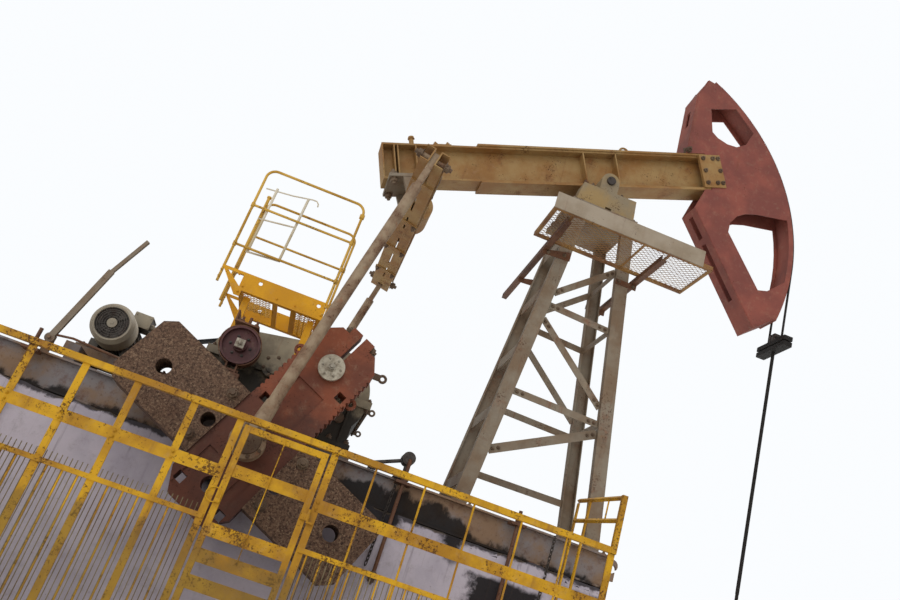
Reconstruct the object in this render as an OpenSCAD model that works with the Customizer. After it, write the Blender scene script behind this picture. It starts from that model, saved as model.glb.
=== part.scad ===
// Beam pumping unit on a concrete foundation, with its service platform and guard fence.
// +X points to the horsehead, +Z up; the saddle pivot stands over the origin.

/* [Levels] */
// Height of the saddle pivot above the ground
pivot_h = 5200; // [4900:10:5600]
// Height of the concrete foundation
foundation_h = 1600; // [1400:10:1700]
// Depth of the steel base frame
frame_h = 250; // [180:5:300]

/* [Foundation and frame] */
// Rear end of the foundation along X
foundation_rear = -4230; // [-4500:10:-4150]
// Front end of the foundation along X
foundation_front = 720; // [690:5:900]
// Half width of the foundation
foundation_half = 640; // [610:5:660]
// Chamfer along the foundation's edges
foundation_chamfer = 30; // [10:1:60]
// Rear end of the base frame
frame_rear = -4100; // [-4140:5:-4000]
// Front end of the base frame
frame_front = 680; // [650:5:710]
// Half width of the base frame over its flanges
frame_half = 600; // [560:5:608]
// Flange width of the frame beams
frame_flange = 120; // [90:5:150]
// Web and flange thickness of the frame beams
frame_wall = 14; // [8:1:20]

/* [Post] */
// Distance of the leg planes from the middle plane
leg_plane = 320; // [290:5:360]
// Depth of a leg channel along X
leg_w = 120; // [90:5:150]
// Flange depth of a leg channel
leg_flange = 60; // [40:5:80]
// Wall of a leg channel
leg_wall = 9; // [6:1:14]
// Front leg position under the cap
front_top_x = 270; // [250:5:290]
// Front leg position at the frame
front_foot_x = 625; // [600:5:640]
// Rear leg position under the cap
rear_top_x = -178; // [-200:1:-160]
// Rear leg position at the frame
rear_foot_x = -520; // [-560:5:-480]
// Distance from the pivot down to the cap's underside
cap_drop = 345; // [335:1:365]
// Thickness of the cap plate
cap_t = 20; // [12:1:25]

/* [Walking beam] */
// Front arm, from pivot to the face of the horsehead's arc
front_arm = 2100; // [2050:5:2150]
// Rear arm, from pivot to the equalizer bearing
rear_arm = 1850; // [1830:1:1870]
// Drop of the equalizer bearing below the pivot line
rear_drop = 200; // [190:1:210]
// Tilt of the beam in the pose shown, head up
rest_tilt = 22.84; // [22:0.01:24]
// Depth of the beam section
beam_d = 375; // [360:5:400]
// Flange width of the beam
beam_w = 210; // [180:5:230]
// Flange thickness of the beam
beam_tf = 18; // [12:1:24]
// Web thickness of the beam
beam_tw = 12; // [8:1:18]
// Cover plate thickness
cover_t = 20; // [12:1:25]
// Width of the cover plates
cover_w = 245; // [235:5:260]
// Height of the lower cover plate above the pivot axis
beam_lift = 80; // [70:1:90]
// Radius of the saddle axle
axle_r = 42; // [36:1:43]
// Tail end of the beam behind the pivot
beam_tail = 2130; // [2100:5:2160]
// Front end of the beam
beam_nose = 1240; // [1200:5:1260]

/* [Horsehead] */
// Half width of the horsehead over its side plates
head_half = 130; // [126:1:150]
// Thickness of the side plates
head_plate = 12; // [8:1:16]
// Thickness of the curved front plate
arc_t = 20; // [12:1:25]

/* [Drive] */
// Slow shaft centre along X
shaft_x = -1807; // [-1820:1:-1795]
// Slow shaft height above the base frame
shaft_rise = 482; // [470:1:500]
// Radius of the slow shaft
shaft_r = 75; // [65:1:80]
// Crank radius in use
crank_r = 780; // [760:1:800]
// Direction of the crank in the pose shown, anticlockwise from +X
crank_ang = 245.4; // [244:0.1:247]
// Inner face of a crank arm from the middle plane
crank_in = 870; // [860:5:880]
// Thickness of a crank arm
crank_t = 160; // [140:5:165]
// Half width of a crank arm
crank_half = 260; // [230:5:270]
// Pitch of the toothed racks along a crank arm
rack_pitch = 42; // [30:1:60]
// Inner face of a counterweight
weight_in = 800; // [795:5:830]
// Thickness of a counterweight
weight_t = 250; // [200:5:280]
// Fast shaft centre along X
fast_x = -2490; // [-2500:1:-2480]
// Fast shaft height above the base frame
fast_rise = 500; // [490:1:510]
// Radius of the fast shaft
fast_r = 40; // [30:1:45]
// Height of the gearbox stand on the frame
stand_h = 100; // [80:5:110]
// Half width of the gearbox over its walls
gear_half = 470; // [430:5:490]
// Radius of the brake drum
drum_r = 145; // [130:5:160]
// Radius of the belt sheave
sheave_r = 480; // [450:5:490]
// Plane of the pitmans
pitman_y = 1265; // [1260:5:1275]
// Outer radius of a pitman tube
pitman_r = 42; // [36:1:48]
// Radius of the equalizer's round bearing housing
housing_r = 145; // [120:1:150]
// Half depth of the equalizer's channels
channel_half = 68; // [55:1:75]
// Half width of the equalizer over its channels
channel_out = 100; // [90:1:115]

/* [Motor] */
// Motor shaft centre along X
motor_x = -3455; // [-3480:5:-3440]
// Motor shaft height above the base frame
motor_rise = 395; // [380:5:410]
// Radius of the motor cowl
cowl_r = 162; // [150:1:170]
// Radius of the motor pulley
pulley_r = 140; // [120:5:150]

/* [Rod] */
// Radius of the polished rod
rod_r = 16; // [12:1:20]
// Radius of a bridle wire
wire_r = 11; // [8:1:13]
// Spacing of the two bridle wires
wire_gap = 214; // [190:2:230]
// Lower end of the polished rod above the ground
rod_end = 1960; // [1850:5:2100]

/* [Walkway and platform] */
// Walkway deck level below the pivot
deck_drop = 896; // [880:1:910]
// Platform floor above the slow shaft
floor_rise = 488; // [468:1:498]
// Height of the platform's railing
rail_h = 1075; // [950:5:1150]
// Radius of a railing tube
tube_r = 11; // [9:1:14]
// Bend radius of a railing's corners
bend_r = 80; // [50:5:120]
// Height of a toe board
toe_h = 140; // [100:5:160]

/* [Fence] */
// Fence plane from the middle plane
fence_y = 1500; // [1480:5:1600]
// Height of the fence
fence_h = 1740; // [1650:10:1850]
// Width of a fence post
post_w = 45; // [35:1:60]
// Hinge side of the gate
gate_x0 = -2165; // [-2180:1:-2150]
// Latch side of the gate
gate_x1 = -1619; // [-1630:1:-1600]
// Height of a gate slat
slat_h = 80; // [60:1:100]
// Space between gate slats
slat_gap = 70; // [50:1:90]
// Height of the lowest gate slat above the ground
slat_low = 100; // [60:5:140]

/* [Hidden] */
frame_top = foundation_h + frame_h;
shaft_h = frame_top + shaft_rise;
fast_h = frame_top + fast_rise;
motor_h = frame_top + motor_rise;
cap_under = pivot_h - cap_drop;
crank_out = crank_in + crank_t;
floor_h = shaft_h + floor_rise;
deck_h = pivot_h - deck_drop;
rod_x = front_arm + wire_r;
carrier_top = pivot_h - 755;
fit = 0.3;
hinge_x = -1612;
hinge_y = -28;
hinge_low = 300;
hinge_high = fence_h - 480;
pin_r = 50;
cheek_r = 84;
lever_x = -3745;
lever_h = frame_top + 100;
bearing_x = -rear_arm * cos(rest_tilt) + rear_drop * sin(rest_tilt);
bearing_h = pivot_h - rear_arm * sin(rest_tilt) - rear_drop * cos(rest_tilt);
bar_x = bearing_x - 30;
bar_h = bearing_h - housing_r - channel_half + 15;
pin_x = shaft_x + crank_r * cos(crank_ang);
pin_h = shaft_h + crank_r * sin(crank_ang);
pit_len = norm([pin_x - bar_x, pin_h - bar_h]);
pit_ang = atan2(bar_x - pin_x, bar_h - pin_h);
tongue_half = 24;
bolt_r = 22;
crank_hub = 285;
ear_u = 345;
$fn = 48;

// Extrudes an outline in the XZ plane from y0 over a thickness t.
module slab(y0, t) translate([0, y0 + t, 0]) rotate([90, 0, 0]) linear_extrude(t) children();

// The same outline on both sides of the middle plane, between y0 and y0 + t.
module both(y0, t) { slab(y0, t) children(); slab(-y0 - t, t) children(); }

// A straight strip of width w between two points of an outline.
module strip(a, b, w) translate(a) rotate(atan2(b.y - a.y, b.x - a.x))
  translate([0, -w / 2]) square([norm(b - a), w]);

// Places an outline or solid of the beam, drawn level about the pivot.
module on_beam() translate([0, 0, pivot_h]) rotate([0, -rest_tilt, 0]) children();

// Places an outline of the crank, drawn along +X from the shaft.
module on_crank() translate([shaft_x, shaft_h]) rotate(crank_ang) children();

// A shaft or boss along Y between two planes.
module across(x, z, r, y0, y1) translate([x, y0, z]) rotate([-90, 0, 0]) cylinder(r = r, h = y1 - y0);

// A box from its low corner to its high corner.
module block(a, b) translate(a) cube(b - a);

module foundation() color("gainsboro")
  slab(-foundation_half, 2 * foundation_half)
    polygon([[foundation_rear, 0], [foundation_front, 0],
      [foundation_front, foundation_h - foundation_chamfer],
      [foundation_front - foundation_chamfer, foundation_h],
      [foundation_rear + foundation_chamfer, foundation_h],
      [foundation_rear, foundation_h - foundation_chamfer]]);

module frame_beam(y) difference() {
  block([frame_rear, y - frame_flange / 2, foundation_h], [frame_front, y + frame_flange / 2, frame_top]);
  for (s = [-1, 1]) translate([frame_rear - 1, y + s * (frame_flange / 4 + frame_wall / 4) - (frame_flange - frame_wall) / 4,
    foundation_h + frame_wall]) cube([frame_front - frame_rear + 2, (frame_flange - frame_wall) / 2 + 0.01, frame_h - 2 * frame_wall]);
}
module base_frame() color("dimgray") {
  inner = frame_half - frame_flange;
  frame_beam(-frame_half + frame_flange / 2);
  frame_beam(frame_half - frame_flange / 2);
  for (x = [frame_rear, -3660, -3160, -2620, -2030, -1480, -1030, rear_foot_x - 60, 10, front_foot_x - 100])
    block([x, -inner - 10, foundation_h], [x + 120, inner + 10, frame_top]);
  for (s = [-1, 1]) block([-2650, s * 380 - 60, frame_top], [-1440, s * 380 + 60, frame_top + stand_h]);
  block([lever_x - 30, -580, frame_top], [lever_x + 30, -560, lever_h + 30]);
  across(lever_x, lever_h, 12, -640, -560);
  both(frame_half - frame_flange / 2 - 15, 30) difference() {
    union() {
      translate([frame_front, frame_top - 170]) square([80, 140]);
      translate([frame_front + 50, frame_top - 55]) circle(r = 45);
    }
    translate([frame_front + 55, frame_top - 80]) circle(r = 32);
  }
}

module gearbox_outline(z0, z1) intersection() {
  union() {
    translate([shaft_x, shaft_h]) circle(r = 360);
    translate([fast_x, fast_h]) circle(r = 220);
    polygon([[shaft_x, shaft_h - 360], [shaft_x, shaft_h + 360], [fast_x, fast_h + 220], [fast_x, fast_h - 220]]);
  }
  translate([-3200, z0]) square([2400, z1 - z0]);
}
module bearing_caps() for (s = [-1, 1]) {
  across(shaft_x, shaft_h, 150, s * (gear_half + 35) - 55, s * (gear_half + 35) + 55);
  across((shaft_x + fast_x) / 2 - 70, shaft_h, 90, s * (gear_half + 35) - 55, s * (gear_half + 35) + 55);
  across((shaft_x + fast_x) / 2 - 70, shaft_h, 60, s * (gear_half + 95) - 10, s * (gear_half + 95) + 10);
  across(fast_x, fast_h, 85, s * (gear_half + 10) - 35, s * (gear_half + 10) + 35);
}
module gearbox_case() color("tan") difference() {
  union() {
    slab(-gear_half + 20, 2 * gear_half - 40) intersection() {
      union() {
        gearbox_outline(frame_top, shaft_h - 15);
        translate([fast_x - 130, frame_top + stand_h]) square([shaft_x - fast_x + 430, 250]);
      }
      translate([-3200, frame_top + stand_h]) square([2400, shaft_h - 15 - frame_top - stand_h]);
    }
    block([fast_x - 170, -gear_half, frame_top + stand_h], [shaft_x + 340, gear_half, frame_top + stand_h + 35]);
    block([fast_x - 250, -gear_half - 25, shaft_h - 45], [shaft_x + 390, gear_half + 25, shaft_h - 15]);
    for (x = [fast_x - 60, fast_x + 250, shaft_x - 240, shaft_x + 60, shaft_x + 240])
      block([x - 8, -gear_half - 5, frame_top + stand_h + 35], [x + 8, gear_half + 5, shaft_h - 45]);
    intersection() {
      bearing_caps();
      block([-3200, -700, shaft_h - 200], [-800, 700, shaft_h - 15]);
    }
  }
  across(shaft_x, shaft_h, shaft_r + fit, -700, 700);
  across(fast_x, fast_h, fast_r + fit, -700, 700);
}
module gearbox_cover() color("tan") difference() {
  union() {
    slab(-gear_half + 30, 2 * gear_half - 60) gearbox_outline(shaft_h + 15, shaft_h + 400);
    block([fast_x - 250, -gear_half - 25, shaft_h - 15], [shaft_x + 390, gear_half + 25, shaft_h + 15]);
    intersection() {
      bearing_caps();
      block([-3200, -700, shaft_h - 15], [-800, 700, shaft_h + 200]);
    }
    translate([0, -18, 0]) for (x = [shaft_x + 40, fast_x + 40]) translate([x, 0, shaft_h + (x == shaft_x + 40 ? 350 : 215)])
      slab(0, 36) difference() {
        translate([-45, -10]) square([90, 50]);
        translate([0, 18]) circle(r = 15);
      }
  }
  across(shaft_x, shaft_h, shaft_r + fit, -700, 700);
  across(fast_x, fast_h, fast_r + fit, -700, 700);
}
module brake_drum() color("maroon") difference() {
  union() {
    across(fast_x, fast_h, fast_r, -760, -gear_half + 10);
    translate([fast_x, 0, fast_h]) block([-38, -772, -38], [38, -760, 38]);
    across(fast_x, fast_h, drum_r, -740, -620);
  }
  difference() {
    across(fast_x, fast_h, drum_r - 15, -741, -700);
    across(fast_x, fast_h, 50, -745, -695);
  }
}
module brake_band() color("dimgray") {
  difference() {
    across(fast_x, fast_h, drum_r + 11, -730, -650);
    across(fast_x, fast_h, drum_r + 5, -735, -645);
    block([fast_x - 30, -740, fast_h - 200], [fast_x + 30, -640, fast_h]);
  }
  for (s = [-1, 1]) block([fast_x + s * 38 - 6, -720, fast_h - drum_r - 60], [fast_x + s * 38 + 6, -660, fast_h - drum_r - 2]);
  block([fast_x - 60, -705, fast_h - drum_r - 52], [fast_x + 60, -685, fast_h - drum_r - 36]);
  block([fast_x - 80, -720, frame_top + 20], [fast_x + 80, -660, fast_h - drum_r - 60]);
  block([fast_x - 80, -720, frame_top], [fast_x + 80, -520, frame_top + 20]);
}
module belt_sheave() color("dimgray") difference() {
  union() {
    across(fast_x, fast_h, fast_r, gear_half - 10, 775);
    across(fast_x, fast_h, sheave_r, 640, 760);
  }
  for (a = [0:60:300]) across(fast_x + 280 * cos(a), fast_h + 280 * sin(a), 105, 630, 770);
}
module belt_loop(extra) {
  d = norm([fast_x - motor_x, fast_h - motor_h]);
  t = atan2(fast_h - motor_h, fast_x - motor_x);
  lean = asin((sheave_r - pulley_r) / d);
  rs = sheave_r + extra;
  rp = pulley_r + extra;
  translate([fast_x, fast_h]) circle(r = rs);
  translate([motor_x, motor_h]) circle(r = rp);
  polygon([for (s = [1, -1]) let (n = t + s * (90 + lean))
      each s > 0 ? [[motor_x + rp * cos(n), motor_h + rp * sin(n)], [fast_x + rs * cos(n), fast_h + rs * sin(n)]]
                 : [[fast_x + rs * cos(n), fast_h + rs * sin(n)], [motor_x + rp * cos(n), motor_h + rp * sin(n)]]]);
}
module drive_belt() color("black") slab(650, 100) difference() { belt_loop(16); belt_loop(fit); }
module motor_pulley() color("dimgray") {
  across(motor_x, motor_h, pulley_r, 640, 760);
  across(motor_x, motor_h, 30, 260, 640);
}
module motor() color("darkgray") {
  across(motor_x, motor_h, 135, -240, 200);
  across(motor_x, motor_h, 150, 200, 260 - fit);
  for (a = [10:10:350]) translate([motor_x, 0, motor_h]) rotate([0, a, 0]) block([130, -230, -3], [155, 190, 3]);
  for (s = [-1, 1]) block([motor_x + s * 125 - 35, -180, motor_h - 190], [motor_x + s * 125 + 35, 140, motor_h - 100]);
  block([motor_x + 60, -170, motor_h + 110], [motor_x + 190, 20, motor_h + 215]);
}
module motor_cowl() color("ivory") difference() {
  translate([motor_x, -240, motor_h]) rotate([90, 0, 0])
    rotate_extrude() polygon([[0, 0], [cowl_r, 0], [cowl_r, 170], [cowl_r - 25, 205], [0, 205]]);
  across(motor_x, motor_h, cowl_r - 38, -450, -425);
}
module motor_rails() color("dimgray") {
  for (y = [-180, 140]) block([motor_x - 300, y - 40, motor_h - 250], [motor_x + 380, y + 40, motor_h - 190]);
  for (x = [-3660, -3160]) block([x + 20, -480, frame_top], [x + 100, 480, motor_h - 250]);
}

module brake_lever() color("tan") slab(-615, 30) {
  difference() {
    union() {
      circle_at(lever_x, lever_h, 35);
      strip([lever_x, lever_h], [-3586, frame_top + 719], 45);
      strip([-3590, frame_top + 700], [-3451, frame_top + 1039], 26);
    }
    circle_at(lever_x, lever_h, 12 + fit);
  }
}
module circle_at(x, z, r) translate([x, z]) circle(r = r);

rod_y = frame_half + 68;
shelf_h = foundation_h - 470;
module lug(x, half, y0, y1, z) block([x - half, min(y0, y1), z], [x + half, max(y0, y1), z + 20]);
module anchor_rods() color("dimgray") for (s = [-1, 1]) for (p = [[-3800, 1980], [-1018, 2001], [-105, 1924]]) {
  translate([p.x, s * rod_y, shelf_h + 20]) cylinder(r = 14, h = p.y - shelf_h - 20);
  translate([p.x, s * rod_y, frame_top - 20]) cylinder(r = 25, h = 45, $fn = 6);
  lug(p.x, 60, s * frame_half, s * (rod_y + 42), frame_top - 40);
  lug(p.x, 40, s * foundation_half, s * (rod_y + 32), shelf_h);
}

module leg_outline(top_x, foot_x, w) intersection() {
  slope = (top_x - foot_x) / (cap_under - frame_top);
  strip([foot_x - 100 * slope, frame_top - 100], [top_x + 100 * slope, cap_under + 100], w);
  translate([-1200, frame_top + 20]) square([2400, cap_under - frame_top - 20]);
}
module leg_edges(top_x, foot_x) for (s = [-1, 1])
  leg_outline(top_x + s * (leg_w - leg_wall) / 2, foot_x + s * (leg_w - leg_wall) / 2, leg_wall);
module leg_pair(top_x, foot_x) {
  both(leg_plane + leg_flange / 2 - leg_wall, leg_wall) leg_outline(top_x, foot_x, leg_w);
  both(leg_plane - leg_flange / 2, leg_flange) leg_edges(top_x, foot_x);
  both(leg_plane - 80, 160) translate([foot_x - 110, frame_top]) square([220, 20]);
}
module rear_legs() color("gray") leg_pair(rear_top_x, rear_foot_x);
module front_legs() color("gray") leg_pair(front_top_x, front_foot_x);

// Inner edges of the legs at a height, and a brace between two such points.
function up_leg(z) = (z - frame_top) / (cap_under - frame_top);
function rear_at(z) = rear_foot_x + (rear_top_x - rear_foot_x) * up_leg(z) + leg_w / 2;
function front_at(z) = front_foot_x + (front_top_x - front_foot_x) * up_leg(z) - leg_w / 2;
module brace(z_rear, z_front, w) strip([rear_at(z_rear) - 2, z_rear], [front_at(z_front) + 2, z_front], w);
module brace_cut() difference() {
  children();
  leg_outline(rear_top_x, rear_foot_x, leg_w);
  leg_outline(front_top_x, front_foot_x, leg_w);
}
module side_braces() color("gray") {
  both(leg_plane - 15, 8) brace_cut() {
    brace(pivot_h - 1296, pivot_h - 869, 60);
    brace(pivot_h - 1420, pivot_h - 1450, 60);
    brace(pivot_h - 1562, pivot_h - 2160, 60);
    brace(pivot_h - 2281, pivot_h - 2300, 60);
  }
  slab(-leg_plane + 7, 8) brace_cut() brace(frame_top + 524, frame_top + 966, 75);
  slab(leg_plane - 15, 8) brace_cut() brace(frame_top + 437, frame_top + 450, 60);
}
module end_braces() color("gray") {
  for (z = [pivot_h - 869, pivot_h - 1450, pivot_h - 2300]) translate([front_at(z) + 10, 0, z])
    block([0, -leg_plane + leg_flange / 2, -30], [8, leg_plane - leg_flange / 2, 30]);
  for (z = concat([for (d = [700:600:2500]) pivot_h - d], [frame_top + 250])) translate([rear_at(z) - leg_w + 12, 0, z])
    block([0, -leg_plane + leg_flange / 2, -50], [8, leg_plane - leg_flange / 2, 50]);
}
module post_cap() color("gray")
  block([rear_top_x - 130, -leg_plane - 70, cap_under], [front_top_x + 70, leg_plane + 70, cap_under + cap_t]);
module saddle_bearings() color("tan") {
  both(200, 165) difference() {
    union() {
      polygon([[-280, cap_under + cap_t], [305, cap_under + cap_t], [290, pivot_h - 105], [-245, pivot_h - 115]]);
      circle_at(0, pivot_h, 88);
      polygon([[-88, pivot_h - 110], [88, pivot_h - 110], [88, pivot_h], [-88, pivot_h]]);
    }
    circle_at(0, pivot_h, axle_r + fit);
    translate([10, cap_under + cap_t - 1]) square([60, 41]);
  }
}

module walkway_deck() color("goldenrod") {
  difference() {
    block([-580, -990, deck_h], [870, -430, deck_h + 40]);
    block([-574, -984, deck_h + 6], [864, -436, deck_h + 50]);
    for (x = [[-550, -420], [-395, 240], [260, 470], [495, 840]])
      block([x[0], -960, deck_h - 1], [x[1], -460, deck_h + 60]);
  }
}
module walkway_board() color("gray")
  block([-590, -1000, deck_h], [775, -990, deck_h + 150]);
module walkway_angles() color("saddlebrown") {
  for (x = [-420, 457]) {
    block([x - 25, -930, deck_h - 50], [x + 25, x < 0 ? 925 : 600, deck_h - 44]);
    block([x - 25, -930, deck_h - 44], [x - 19, x < 0 ? 925 : 600, deck_h]);
  }
  both(leg_plane + leg_flange / 2, 8) {
    polygon([[-445, deck_h - 90], [-180, deck_h - 70], [-180, deck_h + 20], [-445, deck_h - 50]]);
    translate([280, deck_h - 100]) square([202, 50]);
  }
}

plat_x0 = -2890;
plat_x1 = -2020;
plat_y0 = -550;
plat_y1 = 100;
module knee(x0, x1, z0) difference() {
  polygon([[x0, floor_h + toe_h], [x1, floor_h + toe_h], [x1, z0], [x1 - 45, z0]]);
  polygon([[x0 + 55, floor_h + toe_h - 25], [x1 - 30, floor_h + toe_h - 25], [x1 - 30, z0 + 75]]);
}
module platform_floor() color("gold") {
  for (y = [plat_y0, plat_y1 - 8]) slab(y, 8) difference() {
    union() {
      translate([plat_x0 + 190, floor_h]) square([plat_x1 - plat_x0 - 190, toe_h]);
      knee(plat_x0, plat_x0 + 215, floor_h - 60);
    }
    circle_at(plat_x0 + 330, floor_h + 95, 16);
    circle_at(plat_x1 - 60, floor_h + 95, 16);
  }
  for (x = [plat_x0 + 190, plat_x0 + 470, plat_x1 - 250, plat_x1 - 45])
    block([x, plat_y0 + 8, floor_h - 12], [x + 40, plat_y1 - 8, floor_h]);
  for (y = [plat_y0, plat_y1 - 48]) block([plat_x0 + 190, y, floor_h - 12], [plat_x1, y + 48, floor_h]);
  for (i = [0:5]) block([plat_x1 - 250 + i * 38, plat_y0 + 10, floor_h - 8], [plat_x1 - 244 + i * 38, plat_y1 - 10, floor_h - 2]);
  difference() {
    for (x = [-2650, -2120]) for (y = [-450, 45]) block([x, y, shaft_h + 15], [x + 50, y + 50, floor_h - 12]);
    slab(-gear_half + 30, 2 * gear_half - 60) gearbox_outline(shaft_h + 15, shaft_h + 400);
    across((shaft_x + fast_x) / 2 - 70, shaft_h, 91, -600, -380);
    across(fast_x, fast_h, 86, -560, -380);
  }
}
module rail_loop(x0, x1, z0, z1) {
  for (x = [x0, x1]) translate([x, 0, z0]) cylinder(r = tube_r, h = z1 - bend_r - z0);
  translate([x0 + bend_r, 0, z1]) rotate([0, 90, 0]) cylinder(r = tube_r, h = x1 - x0 - 2 * bend_r);
  translate([x0 + bend_r, 0, z1 - bend_r]) rotate([90, 0, 0]) rotate([0, 0, 90])
    rotate_extrude(angle = 90) translate([bend_r, 0]) circle(r = tube_r);
  translate([x1 - bend_r, 0, z1 - bend_r]) rotate([90, 0, 0])
    rotate_extrude(angle = 90) translate([bend_r, 0]) circle(r = tube_r);
}
module platform_rails() color("gold") for (y = [plat_y0 + 8.2 + tube_r, plat_y1 - 8.2 - tube_r]) {
  x0 = plat_x0 + tube_r;
  x1 = plat_x1 - tube_r;
  translate([0, y, 0]) rail_loop(x0, x1, floor_h + 2, floor_h + rail_h);
  for (h = [345, 715]) translate([x0, y, floor_h + h]) rotate([0, 90, 0]) cylinder(r = tube_r - 1, h = x1 - x0);
}
module fence_post(x) block([x - post_w / 2, -5, 0], [x + post_w / 2, 5, fence_h - 40]);
module fence_run(x0, x1, posts, rods) {
  block([x0, -20, fence_h - 40], [x1, 20, fence_h]);
  block([x0, -8, fence_h - 410], [x1, 0, fence_h - 335]);
  block([x0, -15, fence_h - 660], [x1, 15, fence_h - 630]);
  block([x0, -15, 120], [x1, 15, 150]);
  for (x = posts) fence_post(x);
  for (x = rods) translate([x, 3, 0]) cylinder(r = 7, h = fence_h - 40, $fn = 8);
  for (x = [x0 + 60:90:x1 - 30]) block([x - 5, -5, 150], [x + 5, 5, fence_h - 660]);
}
module rear_fence() color("gold") translate([0, -fence_y, 0])
  fence_run(-4160, -2189, [-4160 + post_w / 2, -3837, -3504, -3179, -2855, -2497, -2189 - post_w / 2 + 10], []);
module front_fence() color("gold") translate([0, -fence_y, 0]) {
  fence_run(-1595, 335, [-1595 + post_w / 2 - 10, 312], [-1310, -980, -645, -317, 0]);
  block([-2189, -20, fence_h - 40], [-1595, 20, fence_h]);
  for (z = [hinge_low, hinge_high]) {
    translate([hinge_x, hinge_y, z]) cylinder(r = 8, h = 70);
    block([hinge_x, hinge_y - 8, z - 12], [-1570, hinge_y + 8, z]);
    block([-1590, hinge_y - 8, z - 12], [-1570, -5, z]);
  }
}
module far_fence() color("gold") translate([0, fence_y, 0])
  fence_run(-4160, 335, [-4160 + post_w / 2, -3504, -2855, -2189, -1595, -895, -99, 312], []);
module gate() color("gold") translate([0, -fence_y, 0]) {
  for (z = [hinge_low, hinge_high]) difference() {
    union() {
      translate([hinge_x, hinge_y, z + fit]) cylinder(r = 13, h = 40);
      block([hinge_x - 40, hinge_y - 6, z + fit], [hinge_x, hinge_y + 6, z + fit + 40]);
      block([hinge_x - 40, hinge_y - 6, z + fit], [hinge_x - 20, -15, z + fit + 40]);
    }
    translate([hinge_x, hinge_y, z - 1]) cylinder(r = 8 + fit, h = 60);
  }
  for (x = [gate_x0, gate_x1 - 40]) block([x, -15, 60], [x + 40, 15, fence_h - 60]);
  for (z = [slat_low:slat_h + slat_gap:fence_h - 740])
    block([gate_x0, -12, z], [gate_x1, 12, z + slat_h]);
  block([gate_x0, -12, fence_h - 100], [gate_x1, 12, fence_h - 60]);
  block([gate_x0, -8, fence_h - 380], [gate_x1, 0, fence_h - 305]);
}

beam_low = beam_lift + cover_t;
beam_top = beam_low + beam_d + cover_t;
module walking_beam() color("peru") on_beam() {
  for (z = [beam_low, beam_low + beam_d - beam_tf])
    block([-beam_tail, -beam_w / 2, z], [beam_nose, beam_w / 2, z + beam_tf]);
  block([-beam_tail, -beam_tw / 2, beam_low], [beam_nose, beam_tw / 2, beam_low + beam_d]);
  for (z = [beam_lift, beam_low + beam_d]) block([-1200, -cover_w / 2, z], [beam_nose, cover_w / 2, z + cover_t]);
  for (x = [-beam_tail, -2020, -1985, -1812, -115, 234])
    block([x, -beam_w / 2, beam_low + beam_tf], [x + 12, beam_w / 2, beam_low + beam_d - beam_tf]);
}
module beam_axle() color("dimgray") on_beam() {
  across(0, 0, axle_r, -388, 388);
  difference() {
    block([-150, -130, -65], [150, 130, beam_lift]);
    across(0, 0, axle_r, -140, 140);
  }
}
function polar(r, a) = [r * cos(a), r * sin(a)];
head_in = front_arm - arc_t;
slot_half = 36;
module head_shape() polygon(concat([[1493, 1406], [1311, 1209], [1029, beam_top + fit], [beam_nose + fit, beam_top + fit], [beam_nose + fit, beam_lift - fit],
    [1160, beam_lift - fit], [995, -126], [1346, -1404], [1600, -1322]],
    [for (a = [-39.4:3.2:41.4]) polar(head_in, a)]));
module head_outline() difference() {
  head_shape();
  polygon([[1440, 1045], [1746, 1057], [1886, 767], [1760, 624], [1640, 590], [1537, 620], [1440, 690], [1393, 760]]);
  polygon(concat([[1500, -1013], [1315, -392], [1360, -290], [1465, -210], [1570, -185], [1700, -190]],
    [for (a = [-7:-4:-30]) polar(head_in - 30, a)], [[1603, -1023]]));
}
module head_webs() {
  wall = 2 * head_plate;
  strip([1493, 1406], [1311, 1209], wall);
  strip([1311, 1209], [1029, beam_top], wall);
  strip([995, -126], [1346, -1404], wall);
  strip([1346, -1404], [1600, -1322], wall);
}
module head_plates() color("brown") on_beam() {
  both(head_half - head_plate, head_plate) head_outline();
  difference() {
    slab(-head_half + head_plate - 1, 2 * (head_half - head_plate) + 2) intersection() {
      head_shape();
      head_webs();
    }
    for (r = [[-480, -1080], [-180, -420]]) translate([0, -slot_half, 0]) block([900, 0, r[1]], [1400, 2 * slot_half, r[0]]);
    block([1180, -slot_half, 860], [1260, slot_half, 1060]);
  }
}
module head_arc() color("brown") on_beam() slab(-head_half, 2 * head_half) difference() {
  circle(r = front_arm, $fn = 200);
  circle(r = head_in, $fn = 200);
  for (a = [41.4:20:320.6]) polygon([[0, 0], polar(4000, a), polar(4000, min(a + 20.5, 320.6))]);
}
module head_socket() color("peru") on_beam() {
  difference() {
    both(beam_w / 2, head_half + fit + 12 - beam_w / 2) translate([1160, beam_low]) square([240, beam_d]);
    both(beam_w / 2 - 1, head_half + fit + 1 - beam_w / 2) translate([beam_nose, beam_low - 1]) square([200, beam_d + 2]);
  }
}

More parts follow.
